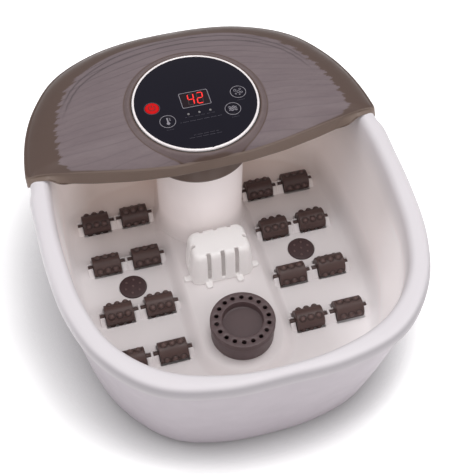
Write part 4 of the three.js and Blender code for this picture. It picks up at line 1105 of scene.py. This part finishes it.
# ------------------------------------------------------------------ bubble caps
for side, sx in (("left", -1), ("right", 1)):
    b = Build()
    n = 144
    th = 2 * np.pi * np.arange(n) / n
    spots = [(0.0, 0.0)] + [(8.6 * math.cos(a), 8.6 * math.sin(a)) for a in np.radians(np.arange(15, 375, 60))]
    rows = []
    for r in np.concatenate([np.linspace(0.3, 13.6, 42), [14.0, 14.4, 14.75, 14.95, 15.0]]):
        x, y = r * np.cos(th), r * np.sin(th)
        z = 25.5 - 0.6 * (r / 15) ** 2 - 0.8 * max(0, (r - 13.6) / 1.4) ** 3
        d = np.min([np.hypot(x - p, y - q) for p, q in spots], axis=0)
        z = z + 0 * x
        rows.append(b.ring(np.stack([sx * CAP_X + x, CAP_Y + y, z], 1)))
    top = rows[0]
    b.strips(list(reversed(rows)))
    b.fan(top, (sx * CAP_X, CAP_Y, 25.5))
    for r, z in ((15.0, 23.1), (4.0, 23.1), (4.0, 11.0)):
        rows.append(b.ring(circle(r, n, sx * CAP_X, CAP_Y, z)))
        b.strip(rows[-1], rows[-2])
    b.fan(rows[-1], (sx * CAP_X, CAP_Y, 11.0), flip=True)
    new_object(f"bubble_disc_{side}", b.v, b.f, CAPM, "root", [f"bubble_cap_{side}"], sharp=45)
    b = Build()
    for p, q in spots:
        z0 = 25.5 - 0.6 * (math.hypot(p, q) / 15) ** 2
        rows = [b.ring(circle(r, 24, sx * CAP_X + p, CAP_Y + q, z0 + z)) for r, z in ((1.3, -0.5), (1.3, 0.15), (1.1, 0.45), (0.75, 0.65), (0.35, 0.72))]
        b.strips(rows)
        b.flat(rows[-1])
        b.flat(rows[0], flip=True)
    new_object(f"bubble_nozzles_{side}", b.v, b.f, NOZZLE, "root", (), sharp=50)

# ------------------------------------------------------------------ heater guard
def temp_solid(name, levels):
    b = Build()
    rows = [b.ring(rrect(w / 2, d / 2, r, 8, 0, y, z)) for w, d, r, z, y in levels]
    b.strips(rows)
    b.flat(rows[-1])
    b.flat(rows[0], flip=True)
    me = bpy.data.meshes.new(name)
    me.from_pydata([tuple(np.array(p) * MM) for p in b.v], [], b.f)
    bm = bmesh.new()
    bm.from_mesh(me)
    bmesh.ops.recalc_face_normals(bm, faces=bm.faces)
    bm.to_mesh(me)
    bm.free()
    o = bpy.data.objects.new(name, me)
    scene.collection.objects.link(o)
    return o


def slot_cutter(name, x0, x1, y0, y1, z0, z1, r=2.1, axis="y"):
    b = Build()
    if axis == "y":
        pts = [((x0 + x1) / 2 + (x1 - x0) / 2 * math.cos(a), z0 + r + (x1 - x0) / 2 * math.sin(a)) for a in np.radians(np.arange(180, 361, 15))]
        pts += [(x1, z1), (x0, z1)]
        lo_ = b.ring([(p, y0, q) for p, q in pts])
        hi_ = b.ring([(p, y1, q) for p, q in pts])
    else:
        pts = [((y0 + y1) / 2 + (y1 - y0) / 2 * math.cos(a), z0 + r + (y1 - y0) / 2 * math.sin(a)) for a in np.radians(np.arange(180, 361, 15))]
        pts += [(y1, z1), (y0, z1)]
        lo_ = b.ring([(x0, p, q) for p, q in pts])
        hi_ = b.ring([(x1, p, q) for p, q in pts])
    b.strip(lo_, hi_)
    b.f.append(tuple(reversed(lo_)))
    b.f.append(tuple(hi_))
    me = bpy.data.meshes.new(name)
    me.from_pydata([tuple(np.array(p) * MM) for p in b.v], [], b.f)
    bm = bmesh.new()
    bm.from_mesh(me)
    bmesh.ops.recalc_face_normals(bm, faces=bm.faces)
    bm.to_mesh(me)
    bm.free()
    o = bpy.data.objects.new(name, me)
    scene.collection.objects.link(o)
    return o


def boolean(o, other, op):
    m_ = o.modifiers.new(op, "BOOLEAN")
    m_.operation, m_.object, m_.solver = op, other, "EXACT"


GZ = PLAT_Z + 0.3
guard = temp_solid("guard_moulding", [(70, 43, 9, GZ, GUARD_Y), (69.4, 42.5, 9, 40, GUARD_Y + 0.1), (68, 41.4, 9, 50, GUARD_Y + 0.35), (66, 40, 9, 62, GUARD_Y + 0.6),
                                      (65, 39.2, 9, 68, GUARD_Y + 0.8), (64, 38.4, 8.8, 71.5, GUARD_Y + 0.9), (62, 36.8, 8.4, 74.6, GUARD_Y + 1), (59, 34, 7.8, 76.6, GUARD_Y + 1), (55, 30, 7, 77.6, GUARD_Y + 1)])
inner = temp_solid("guard_in", [(64.0, 36.8, 7, GZ - 1, GUARD_Y), (60.0, 33.6, 7, 62, GUARD_Y + 0.6), (58.0, 32, 7, 70, GUARD_Y + 0.8), (52, 27, 6, 74.6, GUARD_Y + 1)])
tools = [inner]
boolean(guard, inner, "DIFFERENCE")
for k, x in enumerate((-15.5, 0, 15.5)):
    for y0, y1 in ((GUARD_Y - 30, GUARD_Y - 12.5), (GUARD_Y + 15.5, GUARD_Y + 30)):
        c = slot_cutter(f"cut_{k}_{y0:.0f}", x - 2.2, x + 2.2, y0, y1, 38, 90, r=2.2)
        tools.append(c)
        boolean(guard, c, "DIFFERENCE")
for s_ in (-1, 1):
    c = slot_cutter(f"cut_side_{s_}", 26.5 if s_ > 0 else -42, 42 if s_ > 0 else -26.5, GUARD_Y - 1.4, GUARD_Y + 3, 39, 90, axis="x")
    tools.append(c)
    boolean(guard, c, "DIFFERENCE")
for k, (w, d, x, y) in enumerate(((7.2, 8.5, -17.5, GUARD_Y - 24.75), (7.2, 8.5, 17.5, GUARD_Y - 24.75), (8.5, 7, -38.25, GUARD_Y - 10.5), (8.5, 7, 38.25, GUARD_Y - 10.5))):
    c = temp_solid(f"tab_{k}", [(w, d, 2.0, GZ, 0), (w, d, 2.0, GZ + 3.4, 0)])
    c.location = Vector((x, y, 0)) * MM
    tools.append(c)
    boolean(guard, c, "UNION")
rm = guard.modifiers.new("even", "REMESH")
rm.mode, rm.voxel_size = "VOXEL", 0.00062
sm = guard.modifiers.new("soften", "SMOOTH")
sm.factor, sm.iterations = 0.5, 6
bpy.context.view_layer.update()
applied(guard)
for o in tools:
    bpy.data.objects.remove(o)
gm = guard.data
gz = np.zeros(len(gm.vertices) * 3)
gm.vertices.foreach_get("co", gz)
gz = gz.reshape(-1, 3)
gz[:, 2] = np.maximum(gz[:, 2], GZ * MM)
gm.vertices.foreach_set("co", gz.ravel())
scene.collection.objects.unlink(guard)
bpy.data.objects.remove(guard)
place("guard_moulding", gm, GUARDW, "root", ["heater_guard"])

# ------------------------------------------------------------------ herb box and lid
zs, zt = 53.4, 61.5
v, f = lathe(rounded([(0, GZ), (32.2, GZ), (33.2, GZ + 1), (33.6, zs - 0.3), (31.1, zs - 0.3), (31.1, GZ + 2.6), (0, GZ + 2.6)], [0, 0.8, 0.6, 0.4, 0.4, 1.5, 0], 5), 192, 0, HERB_Y)
new_object("herb_cup", v, f, HERB, "herb_box", ["herb_box"], sharp=45)

b = Build()
n = 216
th = 2 * np.pi * np.arange(n) / n
C = lambda r, z: b.ring(np.stack([r * np.cos(th), HERB_Y + r * np.sin(th), np.full(n, z)], 1))
up_ = [C(31.8, zs), C(33.9, zs), C(34.25, zs + 0.3)] + [C(34.25 - g_, zs + z + dz) for z in (1.9, 3.6, 5.3) for dz, g_ in ((-0.4, 0.0), (-0.12, 0.3), (0.12, 0.3), (0.4, 0.0))]
up_ += [C(34.25, zt - 0.95), C(34.1, zt - 0.45), C(33.75, zt - 0.12), C(33.2, zt)]
b.strips(up_)
inner_rows = [C(22.5, zt), C(22.0, zt - 0.08), C(21.65, zt - 0.35), C(21.5, zt - 0.9), C(21.45, zs + 0.4), C(21.2, zs - 0.5), C(20.4, zs - 0.95), C(19.0, zs - 1.0)]
b.strips(inner_rows)
b.fan(inner_rows[-1], (0, HERB_Y, zs - 1.0))
low_rows = [C(31.8, zs), C(31.8, zt - 2.4)]
low_rows[0] = up_[0]
b.strip(low_rows[1], low_rows[0])
core = [C(23.8, zt - 2.4), C(23.8, zs - 3.2), C(23.2, zs - 3.4)]
b.strips(list(reversed(core)))
b.fan(core[-1], (0, HERB_Y, zs - 3.4), flip=True)
ht, hb = [], []
for k in range(18):
    a = 2 * math.pi * (k + 0.84) / 18
    x, y = 27.7 * math.cos(a), HERB_Y + 27.7 * math.sin(a)
    rows = [b.ring(circle(r, 28, x, y, z)) for r, z in ((2.7, zt), (2.5, zt - 0.1), (2.38, zt - 0.4), (2.38, zt - 2.4))]
    b.strips(rows)
    ht.append(rows[0])
    hb.append(rows[-1])
b.flat(up_[-1], [inner_rows[0], *ht])
b.flat(low_rows[1], [core[0], *hb], flip=True)
new_object("herb_cover", b.v, b.f, HERB, "herb_lid", ["herb_lid"], sharp=40)

# ------------------------------------------------------------------ the frame's own pieces: rounded edges and their own finishes
KEEP = {"base_plate": SHELL, "foot_": RUBBER, "base_screw": STEEL, "panel_tray": BLACK, "display_module": BLACK, "control_pcb": BOARD, "heater_plate": PALE,
        "heater_element": PALE, "temp_sensor": STEEL, "air_pump": BLACK, "air_hose": HOSE, "power_board": BOARD, "vibration_motor": STEEL,
        "eccentric_weight": STEEL, "cord_gland": BLACK}
for name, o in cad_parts.items():
    if o.hide_render:
        continue
    mat = next((m_ for k, m_ in KEEP.items() if name.startswith(k)), None)
    if mat is None:
        raise RuntimeError("no finish for " + name)
    o.data.materials.clear()
    o.data.materials.append(mat)
    if not name.startswith("air_hose"):
        bv = o.modifiers.new("edges", "BEVEL")
        bv.width, bv.segments, bv.limit_method, bv.angle_limit = 0.0003, 2, "ANGLE", math.radians(40)
        bv.use_clamp_overlap = True

# ------------------------------------------------------------------ floor, light
bpy.ops.object.select_all(action="DESELECT")
fm = bpy.data.meshes.new("floor")
fm.from_pydata([(-6, -6, 0), (6, -6, 0), (6, 6, 0), (-6, 6, 0)], [], [(0, 1, 2, 3)])
floor = bpy.data.objects.new("floor", fm)
floor.location = (0, 0, -0.0002)
scene.collection.objects.link(floor)
FLOORM = material("floor_pale", (0.985, 0.985, 0.985, 1), 0.75, 0.0, 0.03, 3, 60, 0.0, 0.0001, edge=0.0, specular=0.0, strength=0.46, setup=floor_painted_contact_shadow)
fm.materials.append(FLOORM)

world = bpy.data.worlds.new("studio")
scene.world = world
world.use_nodes = True
bg = world.node_tree.nodes["Background"]
wt = world.node_tree
sky = wt.nodes.new("ShaderNodeSeparateXYZ")
wt.links.new(wt.nodes.new("ShaderNodeTexCoord").outputs["Generated"], sky.inputs[0])
wt.links.new(ramp(wt, sky.outputs["Z"], [(0.0, (0.30, 0.295, 0.30, 1)), (0.25, (0.42, 0.415, 0.425, 1)), (0.9, (0.84, 0.83, 0.845, 1))]), bg.inputs["Color"])
bg.inputs["Strength"].default_value = 0.88


def area(name, at, to, size, power, color=(1, 1, 1)):
    d = bpy.data.lights.new(name, "AREA")
    d.shape, d.size, d.size_y = "RECTANGLE", size[0], size[1]
    d.energy, d.color = power, color
    o = bpy.data.objects.new(name, d)
    scene.collection.objects.link(o)
    o.location = at
    o.rotation_euler = (Vector(to) - Vector(at)).to_track_quat("-Z", "Y").to_euler()
    return o


area("key_top", (0.20, 0.02, 1.6), (0, 0, 0.1), (0.44, 0.44), 5.4)
area("fill_front", (-0.25, -1.25, 1.15), (0, 0.05, 0.1), (1.3, 0.8), 4.3, (1.0, 0.975, 0.96))
area("fill_right", (1.15, -0.75, 0.92), (0, 0, 0.1), (0.8, 0.6), 4.2)
area("fill_left", (-1.3, 0.35, 1.15), (0, 0, 0.1), (0.8, 0.6), 3.8)
area("fill_back", (0.3, 1.3, 1.1), (0, 0.1, 0.15), (1.2, 0.6), 0.6)
